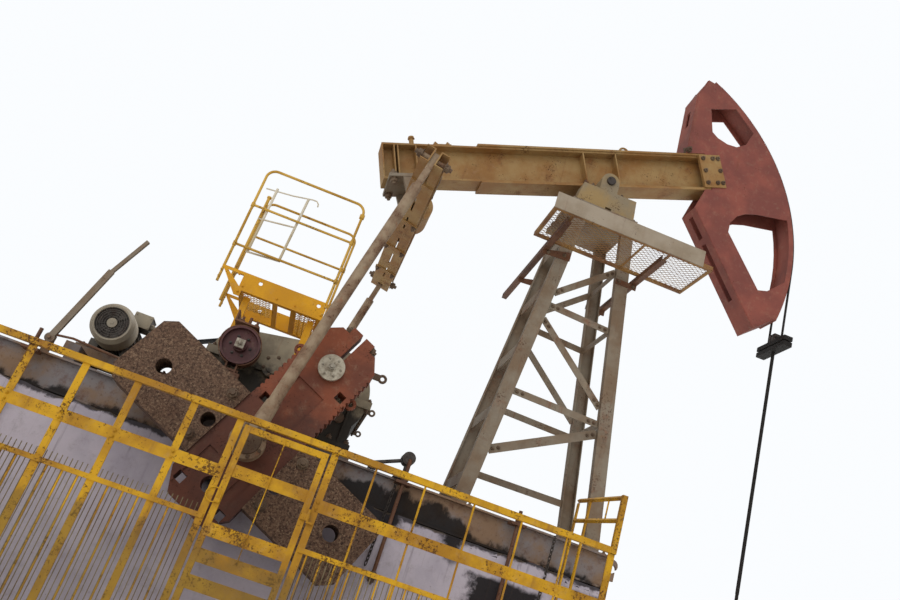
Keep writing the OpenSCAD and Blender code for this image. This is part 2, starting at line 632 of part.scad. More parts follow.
module equalizer_bearing() color("gray") on_beam() translate([-rear_arm, 0, -rear_drop]) {
  foot = rear_drop + beam_low;
  across(0, 0, pin_r, -215, 215);
  both(165, 40) {
    circle_at(0, 0, cheek_r);
    polygon([[-cheek_r, 0], [cheek_r, 0], [120, foot - 30], [-120, foot - 30]]);
  }
  block([-245, -210, foot - 30], [245, 210, foot]);
}
module equalizer() color("peru") {
  difference() {
    union() {
      across(bearing_x, bearing_h, housing_r, -160, 160);
      both(100, 45) strip([bearing_x, bearing_h], [bar_x, bar_h], 200);
    }
    across(bearing_x, bearing_h, pin_r + fit, -170, 170);
    at_bar() block([-160, -170, -200], [160, 170, channel_half - 8]);
  }
  at_bar() {
    difference() {
      for (s = [-1, 1]) {
        for (z = [-channel_half, channel_half - 8])
          block([s * (tongue_half + channel_out) / 2 - (channel_out - tongue_half) / 2 + fit / 2, -1330, z],
            [s * (tongue_half + channel_out) / 2 + (channel_out - tongue_half) / 2 - fit / 2, 1330, z + 8]);
        block([s * (tongue_half + 5) - 5 + s * fit, -1330, -channel_half], [s * (tongue_half + 5) + 5 + s * fit, 1330, channel_half]);
      }
      for (s = [-1, 1]) translate([-150, s * pitman_y, 0]) rotate([0, 90, 0]) cylinder(r = bolt_r + fit, h = 300);
    }
    difference() {
      block([-channel_out, -1000, -channel_half - 12], [channel_out, 1180, -channel_half]);
      for (y = [-760, -400, 40, 400, 760]) block([-7, y, -channel_half - 20], [7, y + 230, -channel_half + 5]);
    }
    for (y = [-330, 250, 800]) block([-channel_out - 12, y, -channel_half - 24], [channel_out + 12, y + 60, -channel_half - 12]);
    for (y = [-1000, 1165]) block([-tongue_half - 1, y, -channel_half], [tongue_half + 1, y + 15, channel_half]);
    block([-channel_out, -420, channel_half], [channel_out, 420, channel_half + 12]);
  }
}
module at_bar() translate([bar_x, 0, bar_h]) rotate([0, pit_ang, 0]) children();
module pitman(s) translate([pin_x, s * pitman_y, pin_h]) {
  across(0, 0, 118, -65, 65);
  rotate([0, pit_ang, 0]) {
    translate([0, 0, 60]) cylinder(r1 = 62, r2 = pitman_r + 6, h = 240);
    translate([0, 0, 60]) cylinder(r = pitman_r, h = pit_len - 330);
    block([-tongue_half, -40, pit_len - 330], [tongue_half, 40, pit_len + 45]);
    translate([-channel_out - 12, 0, pit_len]) rotate([0, 90, 0]) cylinder(r = bolt_r, h = 2 * channel_out + 24);
  }
}
module pitmans() color("tan") for (s = [-1, 1]) pitman(s);

module slow_shaft() color("silver") {
  across(shaft_x, shaft_h, shaft_r, -crank_out - 30, crank_out + 30);
  for (s = [-1, 1]) across(shaft_x, shaft_h, 95, s * (crank_out + 43) - 13, s * (crank_out + 43) + 13);
  for (s = [-1, 1]) across(shaft_x, shaft_h, 30, s * (crank_out + 62) - 6, s * (crank_out + 62) + 6);
}
function rack(v, h, u0, n) = [for (i = [0:n - 1], p = [[0, 0], [0.25, 1], [0.6, 1], [0.85, 0]])
  [u0 + (i + p.x) * rack_pitch, v + p.y * h]];
module crank_outline() difference() {
  union() {
    polygon(concat([[-crank_hub, 160], [-190, crank_half - 14]], rack(crank_half - 14, 14, -150, 14),
      [[450, crank_half], [1180, crank_half], [1320, 150], [1320, -150], [1180, -crank_half], [450, -crank_half]],
      [for (i = [13:-1:0], p = [[0.85, 0], [0.6, 1], [0.25, 1], [0, 0]])
        [-150 + (i + p.x) * rack_pitch, -crank_half + 14 - p.y * 14]],
      [[-190, -crank_half + 14], [-crank_hub, -160]]));
    translate([-ear_u, -100]) square([ear_u - crank_hub + 20, 200]);
  }
  circle(r = shaft_r + 0.1);
  translate([-ear_u - 10, -17]) square([ear_u - 50, 34]);
  for (p = [[460, -170], [1200, -170], [100, 190], [1200, 190]]) translate(p) square(64, center = true);
  translate([crank_r, 0]) circle(r = 50.1);
  translate([1110, 0]) circle(r = 55);
}
module crank_side(s) difference() {
  slab(s > 0 ? crank_in : -crank_out, crank_t) on_crank() crank_outline();
  slab(s > 0 ? crank_out - 14 : -crank_out - 1, 15) on_crank() {
    translate([190, -120]) square([430, 240]);
    translate([930, -190]) square([330, 80]);
    translate([930, 110]) square([330, 80]);
  }
}
module cranks() color("brown") for (s = [-1, 1]) {
  crank_side(s);
  slab(s * (crank_in + 60) - 15, 30) on_crank() for (p = [[-150, -crank_half - 8], [30, -crank_half - 8], [60, crank_half + 8]])
    translate(p) difference() {
      circle(r = 42);
      circle(r = 21);
      translate([-50, p.y < 0 ? 12 : -62]) square([100, 50]);
    }
}
module weight_outline(s) difference() {
  polygon([[510, s * crank_half], [510, s * 960], [580, s * 1030], [1000, s * 1030], [1070, s * 960], [1070, s * crank_half]]);
  translate([790, s * 790]) circle(r = 55);
  translate([830, s * 320]) circle(r = 50);
}
module counterweights() color("rosybrown") both(weight_in, weight_t) on_crank() for (s = [-1, 1]) weight_outline(s);
module crank_pins() color("dimgray") for (s = [-1, 1]) {
  across(pin_x, pin_h, 50, s * (crank_in + 160) - 160, s * (crank_in + 160) + 160);
  across(pin_x, pin_h, 90, s * (crank_out + 40) - 40, s * (crank_out + 40) + 40);
}

module carrier_bar() color("black") difference() {
  union() {
    block([rod_x - 45, -225, carrier_top - 45], [rod_x + 45, 225, carrier_top]);
    block([rod_x - 45, -225, carrier_top - 105], [rod_x + 45, 225, carrier_top - 60]);
    for (s = [-1, 1]) block([rod_x - 30, s * 170 - 30, carrier_top - 60], [rod_x + 30, s * 170 + 30, carrier_top - 45]);
    translate([rod_x, 0, carrier_top]) cylinder(r = 32, h = 60);
  }
  translate([rod_x, 0, carrier_top - 120]) cylinder(r = rod_r + 0.2, h = 200);
}
module polished_rod() color("black") translate([rod_x, 0, rod_end]) {
  cylinder(r = rod_r - 2, h = 60);
  translate([0, 0, 60]) cylinder(r = rod_r, h = carrier_top + 25 - rod_end);
}
module head_wires() color("black") on_beam() rotate([90, 0, 0]) for (s = [-1, 1])
  translate([0, 0, s * wire_gap / 2]) rotate([0, 0, -rest_tilt]) rotate_extrude(angle = 62, $fn = 120)
    translate([rod_x + fit, 0]) circle(r = wire_r);
module drop_wires() color("black") for (s = [-1, 1])
  translate([rod_x, s * wire_gap / 2, carrier_top + fit]) cylinder(r = wire_r, h = pivot_h - carrier_top - 2 * fit);

foundation();
base_frame();
gearbox_case();
gearbox_cover();
brake_drum();
brake_band();
belt_sheave();
drive_belt();
motor_pulley();
motor();
motor_cowl();
motor_rails();
brake_lever();
anchor_rods();
rear_legs();
front_legs();
side_braces();
end_braces();
post_cap();
saddle_bearings();
walkway_deck();
walkway_board();
walkway_angles();
platform_floor();
platform_rails();
rear_fence();
front_fence();
gate();
far_fence();
walking_beam();
beam_axle();
head_plates();
head_arc();
head_socket();
equalizer_bearing();
equalizer();
pitmans();
slow_shaft();
cranks();
counterweights();
crank_pins();
carrier_bar();
polished_rod();
head_wires();
drop_wires();
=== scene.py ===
# %% [markdown]
# # Dressing a beam pumping unit
# The solids of the pumping unit come ready made and packed: foundation, post, beam,
# horsehead, cranks, gearbox, motor, platform and fence. This notebook gives every
# one of them its weathered finish and adds the small things that a solid leaves out,
# such as bolts, nuts, expanded metal, welds, chains and rust streaks.

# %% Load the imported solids
import math
import random

import bmesh
import bpy
from mathutils import Matrix, Vector, noise


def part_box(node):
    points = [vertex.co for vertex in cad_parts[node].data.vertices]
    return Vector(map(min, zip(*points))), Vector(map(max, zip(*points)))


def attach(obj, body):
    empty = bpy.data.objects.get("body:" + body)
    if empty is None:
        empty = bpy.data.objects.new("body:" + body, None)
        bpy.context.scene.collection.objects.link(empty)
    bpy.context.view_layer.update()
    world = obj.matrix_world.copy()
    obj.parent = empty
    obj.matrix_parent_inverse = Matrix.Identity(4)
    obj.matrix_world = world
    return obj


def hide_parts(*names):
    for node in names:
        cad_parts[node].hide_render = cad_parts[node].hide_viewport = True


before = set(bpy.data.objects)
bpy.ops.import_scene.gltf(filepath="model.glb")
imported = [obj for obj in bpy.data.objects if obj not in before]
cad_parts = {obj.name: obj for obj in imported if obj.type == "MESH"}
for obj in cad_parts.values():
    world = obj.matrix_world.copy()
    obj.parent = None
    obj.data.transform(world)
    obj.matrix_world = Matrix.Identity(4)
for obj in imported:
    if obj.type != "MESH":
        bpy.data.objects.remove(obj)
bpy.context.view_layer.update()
print("solids loaded:", len(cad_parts))

# %% [markdown]
# ## The camera
# The unit was photographed from low down on its near side, with the camera rolled, so
# the post leans in the picture. Lens, place and the three angles below were found by
# fitting straight edges of the post, the beam and the fence.

# %% Camera
PIVOT = Vector((0.0, 0.0, 5.2))
CAMERA_FROM_PIVOT = Vector((-1.768, -6.527, -4.438))
YAW, PITCH, ROLL = (math.radians(a) for a in (6.264, 23.468, 18.78))
LENS_MM, SENSOR_MM, FAR_END = 31.9, 36.0, 200.0

forward = Vector((math.sin(YAW) * math.cos(PITCH), math.cos(YAW) * math.cos(PITCH),
                  math.sin(PITCH)))
level = Vector((math.cos(YAW), -math.sin(YAW), 0.0))
above = level.cross(forward)
right = level * math.cos(ROLL) + above * math.sin(ROLL)
up = above * math.cos(ROLL) - level * math.sin(ROLL)
data = bpy.data.cameras.new("camera")
data.lens = LENS_MM
data.sensor_width = SENSOR_MM
data.clip_end = FAR_END
camera = bpy.data.objects.new("camera", data)
turn = Matrix((right, up, -forward)).transposed().to_4x4()
camera.matrix_world = Matrix.Translation(PIVOT + CAMERA_FROM_PIVOT) @ turn
bpy.context.scene.collection.objects.link(camera)
bpy.context.scene.camera = camera
print("camera stands at", tuple(round(v, 2) for v in camera.matrix_world.translation))

# %% [markdown]
# ## Writing shaders as sums
# A finish is a small piece of arithmetic: a bit of noise, a threshold, a mix of two
# colours. The class below wraps a socket, so that plus, minus and times add the Math
# nodes, and one method adds every other node. Painted pictures would do as well, but
# they show their edges on big plates, and noise has none.

# %% Sockets that can be added and multiplied
class Value:
    def __init__(self, finish, socket):
        self.finish, self.socket = finish, socket

    def maths(self, operation, first, second):
        return self.finish.add("ShaderNodeMath", {"operation": operation}, {0: first, 1: second})

    def __add__(self, other):
        return self.maths("ADD", self, other)

    __radd__ = __add__

    def __sub__(self, other):
        return self.maths("SUBTRACT", self, other)

    def __rsub__(self, other):
        return self.maths("SUBTRACT", other, self)

    def __mul__(self, other):
        return self.maths("MULTIPLY", self, other)

    __rmul__ = __mul__


class Finish:
    def __init__(self, name):
        self.material = bpy.data.materials.new(name)
        self.material.use_nodes = True
        self.tree = self.material.node_tree
        self.tree.nodes.clear()
        self.place = self.add("ShaderNodeTexCoord", {}, {}, "Object")

    def add(self, kind, settings, links, output=0):
        node = self.tree.nodes.new(kind)
        for key, value in settings.items():
            setattr(node, key, value)
        for key, value in links.items():
            if isinstance(value, Value):
                self.tree.links.new(value.socket, node.inputs[key])
            else:
                node.inputs[key].default_value = value
        return Value(self, node.outputs[output])

    def stretched(self, x, y, z):
        return self.add("ShaderNodeMapping", {}, {"Vector": self.place, "Scale": (x, y, z)})

    def noise(self, scale, detail, rough, where=None):
        return self.add("ShaderNodeTexNoise", {}, {"Vector": where or self.place, "Scale": scale,
                                                   "Detail": detail, "Roughness": rough})

    def step(self, value, low, high):
        return self.add("ShaderNodeMapRange", {"interpolation_type": "SMOOTHSTEP"},
                        {"Value": value, "From Min": low, "From Max": high})

    def mix(self, share, first, second):
        return self.add("ShaderNodeMix", {"data_type": "RGBA"},
                        {"Factor": share, 6: first, 7: second}, 2)

    def spread(self, base, over, grain, low, high, share=None):
        """Lays a colour over the base where a noise rises from low to high.

        The grain is the noise's scale, detail and roughness."""
        mask = self.step(self.noise(*grain), low, high)
        return self.mix(mask if share is None else mask * share, base, over)

    def settle(self, base, over, share, low=0.6):
        """Lays a colour on what faces up."""
        normal = self.add("ShaderNodeNewGeometry", {}, {}, "Normal")
        up = self.add("ShaderNodeSeparateXYZ", {}, {"Vector": normal}, "Z")
        return self.mix(self.step(up, low, 0.95) * share, base, over)

    def coordinate(self, axis):
        return self.add("ShaderNodeSeparateXYZ", {}, {"Vector": self.place}, axis)

    def bump(self, height, strength, distance):
        return self.add("ShaderNodeBump", {}, {"Height": height, "Strength": strength,
                                               "Distance": distance})

    def close(self, colour, rough, metallic, normal, gloss=0.3):
        links = {"Base Color": colour, "Roughness": rough, "Metallic": metallic,
                 "Specular IOR Level": gloss, "Normal": normal}
        self.add_output(self.add("ShaderNodeBsdfPrincipled", {}, links))
        return self.material

    def add_output(self, shader):
        node = self.tree.nodes.new("ShaderNodeOutputMaterial")
        self.tree.links.new(shader.socket, node.inputs["Surface"])


def colour(red, green, blue):
    """A colour as a paint card gives it, 0 to 255, made linear."""
    return tuple((c / 255.0) ** 2.2 for c in (red, green, blue)) + (1.0,)


RUST_DARK = colour(70, 42, 29)
RUST_BRIGHT = colour(132, 76, 44)
DUST = colour(168, 146, 118)
SOOT = colour(20, 15, 13)

# %% [markdown]
# ## Weathered paint
# Almost everything here is painted steel that has stood in the sun for years. One
# function serves them all: two tones of the coat in large soft patches, rust that
# blooms through the coat, small chips, streaks that run down, grime, a darker tone
# below a given height, and dust on what faces up. On the cranks the darker tone is
# painted shade over their lower part; on the other parts it lies where oil or mud
# reaches. The chips are a little sunk and rough, the grime a little glossy.

# %% Weathered paint
def weathered(name, coat, second, rust, chips, streaks, grime, patch=3.0, low=None):
    f = Finish(name)
    base = f.spread(colour(*coat), colour(*second), (patch, 5.0, 0.6), 0.36, 0.64)
    base = f.spread(base, DUST, (patch * 5.0, 7.0, 0.72), 0.5, 0.8, 0.28)
    tint = f.spread(RUST_DARK, RUST_BRIGHT, (34.0, 6.0, 0.7), 0.35, 0.65)
    bloom = f.step(f.noise(patch * 1.7, 8.0, 0.66), 0.66 - rust * 0.22, 0.84 - rust * 0.14)
    base = f.mix(bloom * 0.7, base, tint)
    running = f.step(f.noise(8.0, 5.0, 0.6, f.stretched(2.6, 2.6, 0.2)), 0.56, 0.78)
    base = f.mix(running * streaks, base, tint)
    spots = f.noise(70.0, 6.0, 0.7)
    crowded = spots + f.noise(5.0, 4.0, 0.6) * 0.6
    chipped = f.step(crowded, 1.02 - chips * 0.22, 1.07 - chips * 0.22)
    base = f.mix(chipped * 0.85, base, RUST_DARK)
    dirt = f.step(f.noise(2.1, 7.0, 0.66), 0.5, 0.85)
    base = f.mix(dirt * grime, base, SOOT)
    # Below a given height the tone darkens: painted shade on the cranks, a stain on the other
    # parts.
    if low:
        height, tone, share = low
        line = height + (f.noise(5.0, 6.0, 0.65) - 0.5) * 0.5
        wet = f.step(line - f.coordinate("Z"), -0.05, 0.08)
        base = f.mix(wet * share, base, colour(*tone))
    base = f.settle(base, DUST, 0.3, 0.55)
    roughness = 0.6 + chipped * 0.25 + bloom * 0.12 - dirt * 0.1
    relief = spots * 0.25 + f.noise(220.0, 3.0, 0.6) * 0.2 - chipped * 0.5
    return f.close(base, roughness, 0.0, f.bump(relief, 0.3, 0.003))


# %% [markdown]
# ## Other finishes
# The counterweights are raw castings, speckled with rust and sand. The foundation is
# whitewashed concrete with spills of black oil that run down from its top edge, and
# the frame on it carries the same oil on its lower flange. Shafts are bare metal, and
# the ropes nearly black with grease.

# %% Castings
def casting(name, ground, fleck_light, fleck_dark):
    f = Finish(name)
    grain = f.noise(55.0, 7.0, 0.8)
    base = f.mix(f.step(grain, 0.36, 0.6), fleck_dark, ground)
    base = f.spread(base, fleck_light, (90.0, 5.0, 0.8), 0.52, 0.66)
    base = f.spread(base, RUST_DARK, (2.6, 6.0, 0.62), 0.5, 0.8, 0.45)
    base = f.settle(base, DUST, 0.4)
    pits = grain + f.noise(18.0, 5.0, 0.65) * 0.7
    return f.close(base, 0.86, 0.0, f.bump(pits, 0.6, 0.008))


# %% Whitewashed concrete
# Left end, right end, top and foot of each spill of oil.
OIL_SPILLS = [(-1.55, -0.9, 1.7, 1.46), (-0.66, -0.4, 1.7, 1.4), (-0.36, 0.22, 1.4, 1.02),
              (0.38, 0.8, 1.52, 1.36), (-2.5, -2.1, 1.7, 1.34), (1.1, 1.5, 1.7, 1.45)]


def whitewashed(name):
    f = Finish(name)
    base = f.spread(colour(186, 176, 184), colour(160, 152, 162), (1.1, 6.0, 0.62), 0.38, 0.66)
    base = f.spread(base, colour(122, 112, 108), (12.0, 8.0, 0.74), 0.5, 0.76, 0.45)
    x, z = f.coordinate("X"), f.coordinate("Z")
    edge = f.noise(7.0, 8.0, 0.7)
    wander = (f.noise(3.2, 7.0, 0.68) - 0.5) * 0.42
    oil = f.step(z - (edge - 0.5) * 0.12, 1.565, 1.585) * 0.9
    for left, right, upper, lower in OIL_SPILLS:
        narrow = (upper - z) * 0.25
        within = f.step(x + wander - narrow, left - 0.04, left + 0.04)
        within = within - f.step(x + wander + narrow, right - 0.04, right + 0.04)
        reach = f.step(z + wander * 0.5, lower - 0.05, lower + 0.05)
        reach = reach * f.step(upper - z + wander * 0.3, -0.02, 0.02)
        oil = f.add("ShaderNodeMath", {"operation": "MAXIMUM"}, {0: oil, 1: within * reach})
    base = f.mix(oil * 0.96, base, SOOT)
    drips = f.step(f.noise(10.0, 4.0, 0.6, f.stretched(2.2, 2.2, 0.1)), 0.58, 0.72)
    base = f.mix(drips * 0.4 * f.step(z, 0.3, 1.5), base, colour(62, 52, 48))
    base = f.spread(base, colour(60, 54, 52), (26.0, 6.0, 0.7), 0.66, 0.74, 0.7)
    base = f.mix(f.step(z, 0.3, 0.0) * 0.6, base, colour(120, 106, 92))
    base = f.settle(base, colour(96, 84, 72), 0.75)
    relief = f.noise(24.0, 8.0, 0.72) + edge * 0.6 + oil * 0.25
    return f.close(base, 0.88 - oil * 0.2, 0.0, f.bump(relief, 0.5, 0.012), 0.15)


# %% Oily frame
def oiled_frame(name, low, high):
    f = Finish(name)
    web = f.spread(colour(128, 104, 84), colour(124, 118, 118), (2.4, 7.0, 0.66), 0.4, 0.62)
    web = f.spread(web, colour(92, 62, 50), (9.0, 7.0, 0.7), 0.5, 0.72, 0.7)
    web = f.spread(web, RUST_DARK, (40.0, 6.0, 0.7), 0.56, 0.7, 0.5)
    z, x = f.coordinate("Z"), f.coordinate("X")
    wet = f.noise(6.0, 6.0, 0.66, f.stretched(1.0, 1.0, 0.6))
    line = low + (high - low) * 0.16 + (wet - 0.5) * 0.3
    spill = f.step(x, -1.9, -1.2) - f.step(x, -0.55, -0.35)
    oil = f.step(line + spill * 0.13 - z, -0.02, 0.03)
    web = f.mix(oil * 0.92, web, SOOT)
    web = f.settle(web, colour(110, 94, 76), 0.55)
    relief = f.noise(60.0, 6.0, 0.7) + oil * 0.3
    return f.close(web, 0.75 - oil * 0.15, 0.0, f.bump(relief, 0.35, 0.004), 0.15)


# %% Bare metal, rope and rubber
def bare_metal(name, tone, worn, shine=0.55):
    f = Finish(name)
    smear = f.step(f.noise(24.0, 6.0, 0.7), 0.4, 0.7)
    base = f.mix(smear, tone, worn)
    base = f.spread(base, RUST_DARK, (7.0, 4.0, 0.6), 0.6, 0.8, 0.5)
    metallic = shine - smear * shine * 0.7
    return f.close(base, 0.45 + smear * 0.3, metallic, f.bump(smear, 0.2, 0.002))


def wire_rope(name):
    f = Finish(name)
    lay = f.add("ShaderNodeTexWave", {"wave_type": "BANDS", "bands_direction": "DIAGONAL"},
                {"Vector": f.place, "Scale": 55.0}, "Fac")
    base = f.mix(f.step(lay, 0.3, 0.8), colour(18, 17, 17), colour(54, 49, 45))
    return f.close(base, 0.6, 0.3, f.bump(lay, 0.8, 0.003))


def matt_rubber(name):
    f = Finish(name)
    scuff = f.step(f.noise(40.0, 5.0, 0.7), 0.45, 0.8)
    base = f.mix(scuff, colour(22, 22, 23), colour(54, 51, 48))
    return f.close(base, 0.75, 0.0, f.bump(scuff, 0.2, 0.001))


# %% The finishes of this unit
# Each paint has two tones, and says how much rust, chips, streaks and grime it has.
beam_paint = weathered("beam_paint", (154, 124, 80), (140, 100, 56), 0.6, 0.4, 0.35, 0.25)
head_paint = weathered("head_paint", (138, 76, 64), (118, 66, 58), 0.1, 0.2, 0.3, 0.25)
post_paint = weathered("post_paint", (130, 118, 102), (116, 96, 76), 0.55, 0.4, 0.6, 0.35)
# Below 2.0 m the cranks get a darker tone, which is painted shade over their lower part.
crank_paint = weathered("crank_paint", (130, 70, 46), (102, 56, 40), 0.3, 0.5, 0.4, 0.6,
                        low=(2.0, (58, 38, 32), 0.6))
fence_paint = weathered("fence_paint", (208, 156, 20), (160, 112, 24), 0.5, 0.65, 0.55, 0.45,
                        low=(0.95, (108, 86, 44), 0.6))
picket_paint = weathered("picket_paint", (128, 116, 88), (92, 76, 50), 0.3, 0.4, 0.3, 0.4)
floor_paint = weathered("floor_paint", (214, 152, 14), (196, 136, 18), 0.0, 0.3, 0.2, 0.15)
rail_paint = weathered("rail_paint", (206, 162, 70), (178, 132, 46), 0.1, 0.5, 0.4, 0.3)
bar_paint = weathered("bar_paint", (214, 204, 184), (186, 170, 138), 0.0, 0.2, 0.1, 0.1)
cream_paint = weathered("cream_paint", (162, 150, 128), (142, 132, 116), 0.1, 0.2, 0.3, 0.3)
gear_paint = weathered("gear_paint", (150, 138, 114), (118, 106, 88), 0.3, 0.3, 0.4, 0.65,
                       low=(2.3, (20, 15, 13), 0.88))
drum_paint = weathered("drum_paint", (84, 52, 52), (66, 50, 50), 0.2, 0.5, 0.2, 0.5)
deck_paint = weathered("deck_paint", (150, 112, 62), (120, 82, 52), 0.6, 0.5, 0.4, 0.3)
board_paint = weathered("board_paint", (156, 142, 124), (138, 122, 102), 0.2, 0.3, 0.3, 0.2)
rusty_steel = weathered("rusty_steel", (104, 70, 50), (84, 58, 44), 0.6, 0.5, 0.4, 0.3)
saddle_paint = weathered("saddle_paint", (150, 124, 82), (132, 118, 96), 0.3, 0.4, 0.4, 0.4)
pitman_paint = weathered("pitman_paint", (150, 130, 106), (112, 86, 66), 0.6, 0.5, 0.5, 0.35,
                         patch=5.0)
motor_paint = weathered("motor_paint", (92, 86, 78), (72, 68, 64), 0.2, 0.3, 0.3, 0.5)
weight_cast = casting("weight_cast", colour(108, 84, 68), colour(150, 124, 100), colour(52, 38, 32))
concrete = whitewashed("whitewashed_concrete")
FRAME_FOOT, FRAME_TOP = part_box("base_frame")[0][2], 1.85
frame_paint = oiled_frame("frame_paint", FRAME_FOOT, FRAME_TOP)
shaft_metal = bare_metal("shaft_metal", colour(168, 158, 140), colour(128, 116, 100), 0.3)
dark_metal = bare_metal("dark_metal", colour(74, 68, 64), colour(50, 44, 40))
rope_grease = wire_rope("rope_grease")
belt_rubber = matt_rubber("belt_rubber")

# %% [markdown]
# ## Painting the solids
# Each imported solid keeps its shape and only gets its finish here. One table says which
# finish goes on which solids, and the print below it names any that were forgotten.

# %% Paint the solids
FINISH_OF = {
    concrete: ["foundation"],
    frame_paint: ["base_frame", "motor_rails"],
    rusty_steel: ["anchor_rods", "walkway_angles", "brake_band"],
    gear_paint: ["gearbox_case", "gearbox_cover"],
    drum_paint: ["brake_drum"],
    dark_metal: ["belt_sheave", "motor_pulley", "crank_pins", "beam_axle"],
    belt_rubber: ["drive_belt"],
    motor_paint: ["motor"],
    cream_paint: ["motor_cowl"],
    post_paint: ["rear_legs", "front_legs", "side_braces", "end_braces", "post_cap",
                 "equalizer_bearing", "brake_lever"],
    pitman_paint: ["pitmans"],
    saddle_paint: ["saddle_bearings"],
    deck_paint: ["walkway_deck"],
    board_paint: ["walkway_board"],
    floor_paint: ["platform_floor"],
    rail_paint: ["platform_rails"],
    fence_paint: ["rear_fence", "front_fence", "gate", "far_fence"],
    beam_paint: ["walking_beam", "head_socket", "equalizer"],
    head_paint: ["head_plates", "head_arc"],
    shaft_metal: ["slow_shaft"],
    crank_paint: ["cranks"],
    weight_cast: ["counterweights"],
    rope_grease: ["carrier_bar", "polished_rod", "head_wires", "drop_wires"],
}


for material, nodes in FINISH_OF.items():
    for node in nodes:
        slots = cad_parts[node].data.materials
        slots.clear()
        slots.append(material)
unpainted = set(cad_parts) - {n for nodes in FINISH_OF.values() for n in nodes}
print("painted", len(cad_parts) - len(unpainted), "solids; without finish:", unpainted)

# %% [markdown]
# ## Places on the moving parts
# The beam leans, the cranks point down and the yoke hangs askew, so it would be hard to
# give a bolt's place in plain coordinates. Each of these bodies gets a matrix instead,
# in which X runs along the beam or the crank. A bolt is then placed as a fitter would
# say it: so far along the beam, on that side.

# %% Frames of reference
def middle(node):
    low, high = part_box(node)
    return (Vector(low) + Vector(high)) / 2.0


def turned(origin, degrees):
    return Matrix.Translation(origin) @ Matrix.Rotation(math.radians(-degrees), 4, "Y")


SHAFT, PIN = middle("slow_shaft"), middle("crank_pins")
BEAM_LEAN, CRANK_LEAN, YOKE_LEAN = 22.84, 245.4, -10.84
TAIL_BEARING = (-1.6573, 0.0, 4.0996)
LEVEL = Matrix()
BEAM = turned(PIVOT, BEAM_LEAN)
CRANK = turned(SHAFT, CRANK_LEAN)
YOKE = turned(TAIL_BEARING, YOKE_LEAN)
DRUM = middle("brake_drum")
GEAR_X = {"slow": SHAFT.x, "middle": -2.2185, "fast": DRUM.x}
SIDES = {"+x": (1, 0, 0), "-x": (-1, 0, 0), "+y": (0, 1, 0), "-y": (0, -1, 0),
         "+z": (0, 0, 1), "-z": (0, 0, -1)}


# %% Places on a body
def spot(point, side, base=LEVEL):
    """The place of something that stands on a point of a body and faces one of its sides."""
    turn = Vector(SIDES[side]).to_track_quat("Z", "Y").to_matrix().to_4x4()
    return base @ Matrix.Translation(point) @ turn


def away(sign, axis="y"):
    """The side of a body that a sign points to."""
    return ("-" if sign < 0 else "+") + axis


def upright(x, y, z, lean=90.0):
    """The place of a ring that stands on its edge."""
    return Matrix.Translation((x, y, z)) @ Matrix.Rotation(math.radians(lean), 4, "X")


def ring_of(centre, radius, count, first=0.0, span=360.0):
    """Points round a circle in the XZ plane."""
    angles = [math.radians(first + span * i / count) for i in range(count)]
    return [(centre[0] + radius * math.cos(a), centre[1], centre[2] + radius * math.sin(a))
            for a in angles]


print("shaft", tuple(round(v, 3) for v in SHAFT), "pin", tuple(round(v, 3) for v in PIN))

# %% [markdown]
# ## Small shapes
# Blocks, rods, rings, nuts and bent bars are enough for nearly all the fittings. Each
# helper adds its shape to a mesh that is being built, so that one object can hold a
# whole row of like fittings. Each cell further down starts such a mesh, fills it and
# ends it as a piece that rides on one of the moving bodies.

# %% Blocks, discs and rods
def edges_of(made):
    return list({e for v in made["verts"] for e in v.link_edges})


def add_block(bm, low, high, base=LEVEL, edge=0.0):
    low, high = Vector(low), Vector(high)
    size = Matrix.Diagonal((*(high - low), 1.0))
    place = base @ Matrix.Translation((low + high) / 2) @ size
    made = bmesh.ops.create_cube(bm, size=1.0, matrix=place)
    if edge:
        bmesh.ops.bevel(bm, geom=edges_of(made), offset=edge, offset_type="OFFSET", segments=2,
                        profile=0.5, affect="EDGES", material=-1)


def add_disc(bm, place, radius, depth, sides, far=None):
    bmesh.ops.create_cone(bm, cap_ends=True, segments=sides, radius1=radius,
                          radius2=radius if far is None else far, depth=depth,
                          matrix=place @ Matrix.Translation((0.0, 0.0, depth / 2)))


def add_rod(bm, start, end, radius, sides=10):
    start, end = Vector(start), Vector(end)
    turn = (end - start).to_track_quat("Z", "Y").to_matrix().to_4x4()
    add_disc(bm, Matrix.Translation(start) @ turn, radius, (end - start).length, sides)


# %% Nuts and rings
def add_nut(bm, point, side, across, base=LEVEL, shank=0.35):
    """A hexagon nut on its washer, with the end of the bolt standing out of it."""
    place = spot(point, side, base)
    # Height, radius, depth, sides and upper radius, measured in widths across the flats.
    washer, hexagon = (0.0, 0.66, 0.1, 20, 0.66), (0.1, 0.577, 0.42, 6, 0.577)
    chamfer, bolt_end = (0.52, 0.577, 0.08, 6, 0.48), (0.6, 0.3, shank, 12, 0.26)
    for rise, radius, depth, sides, far in (washer, hexagon, chamfer, bolt_end):
        add_disc(bm, place @ Matrix.Translation((0, 0, across * rise)), across * radius,
                 across * depth, sides, across * far)


def add_ring(bm, place, radius, thickness, steps=28):
    before = set(bm.verts)
    lie = Matrix.Translation((radius, 0.0, 0.0)) @ Matrix.Rotation(math.radians(90.0), 4, "X")
    made = bmesh.ops.create_circle(bm, segments=10, radius=thickness, matrix=lie)
    geom = made["verts"] + edges_of(made)
    bmesh.ops.spin(bm, geom=geom, cent=(0, 0, 0), axis=(0, 0, 1), angle=math.tau,
                   steps=steps, use_merge=True)
    bmesh.ops.transform(bm, matrix=place, verts=[v for v in bm.verts if v not in before])


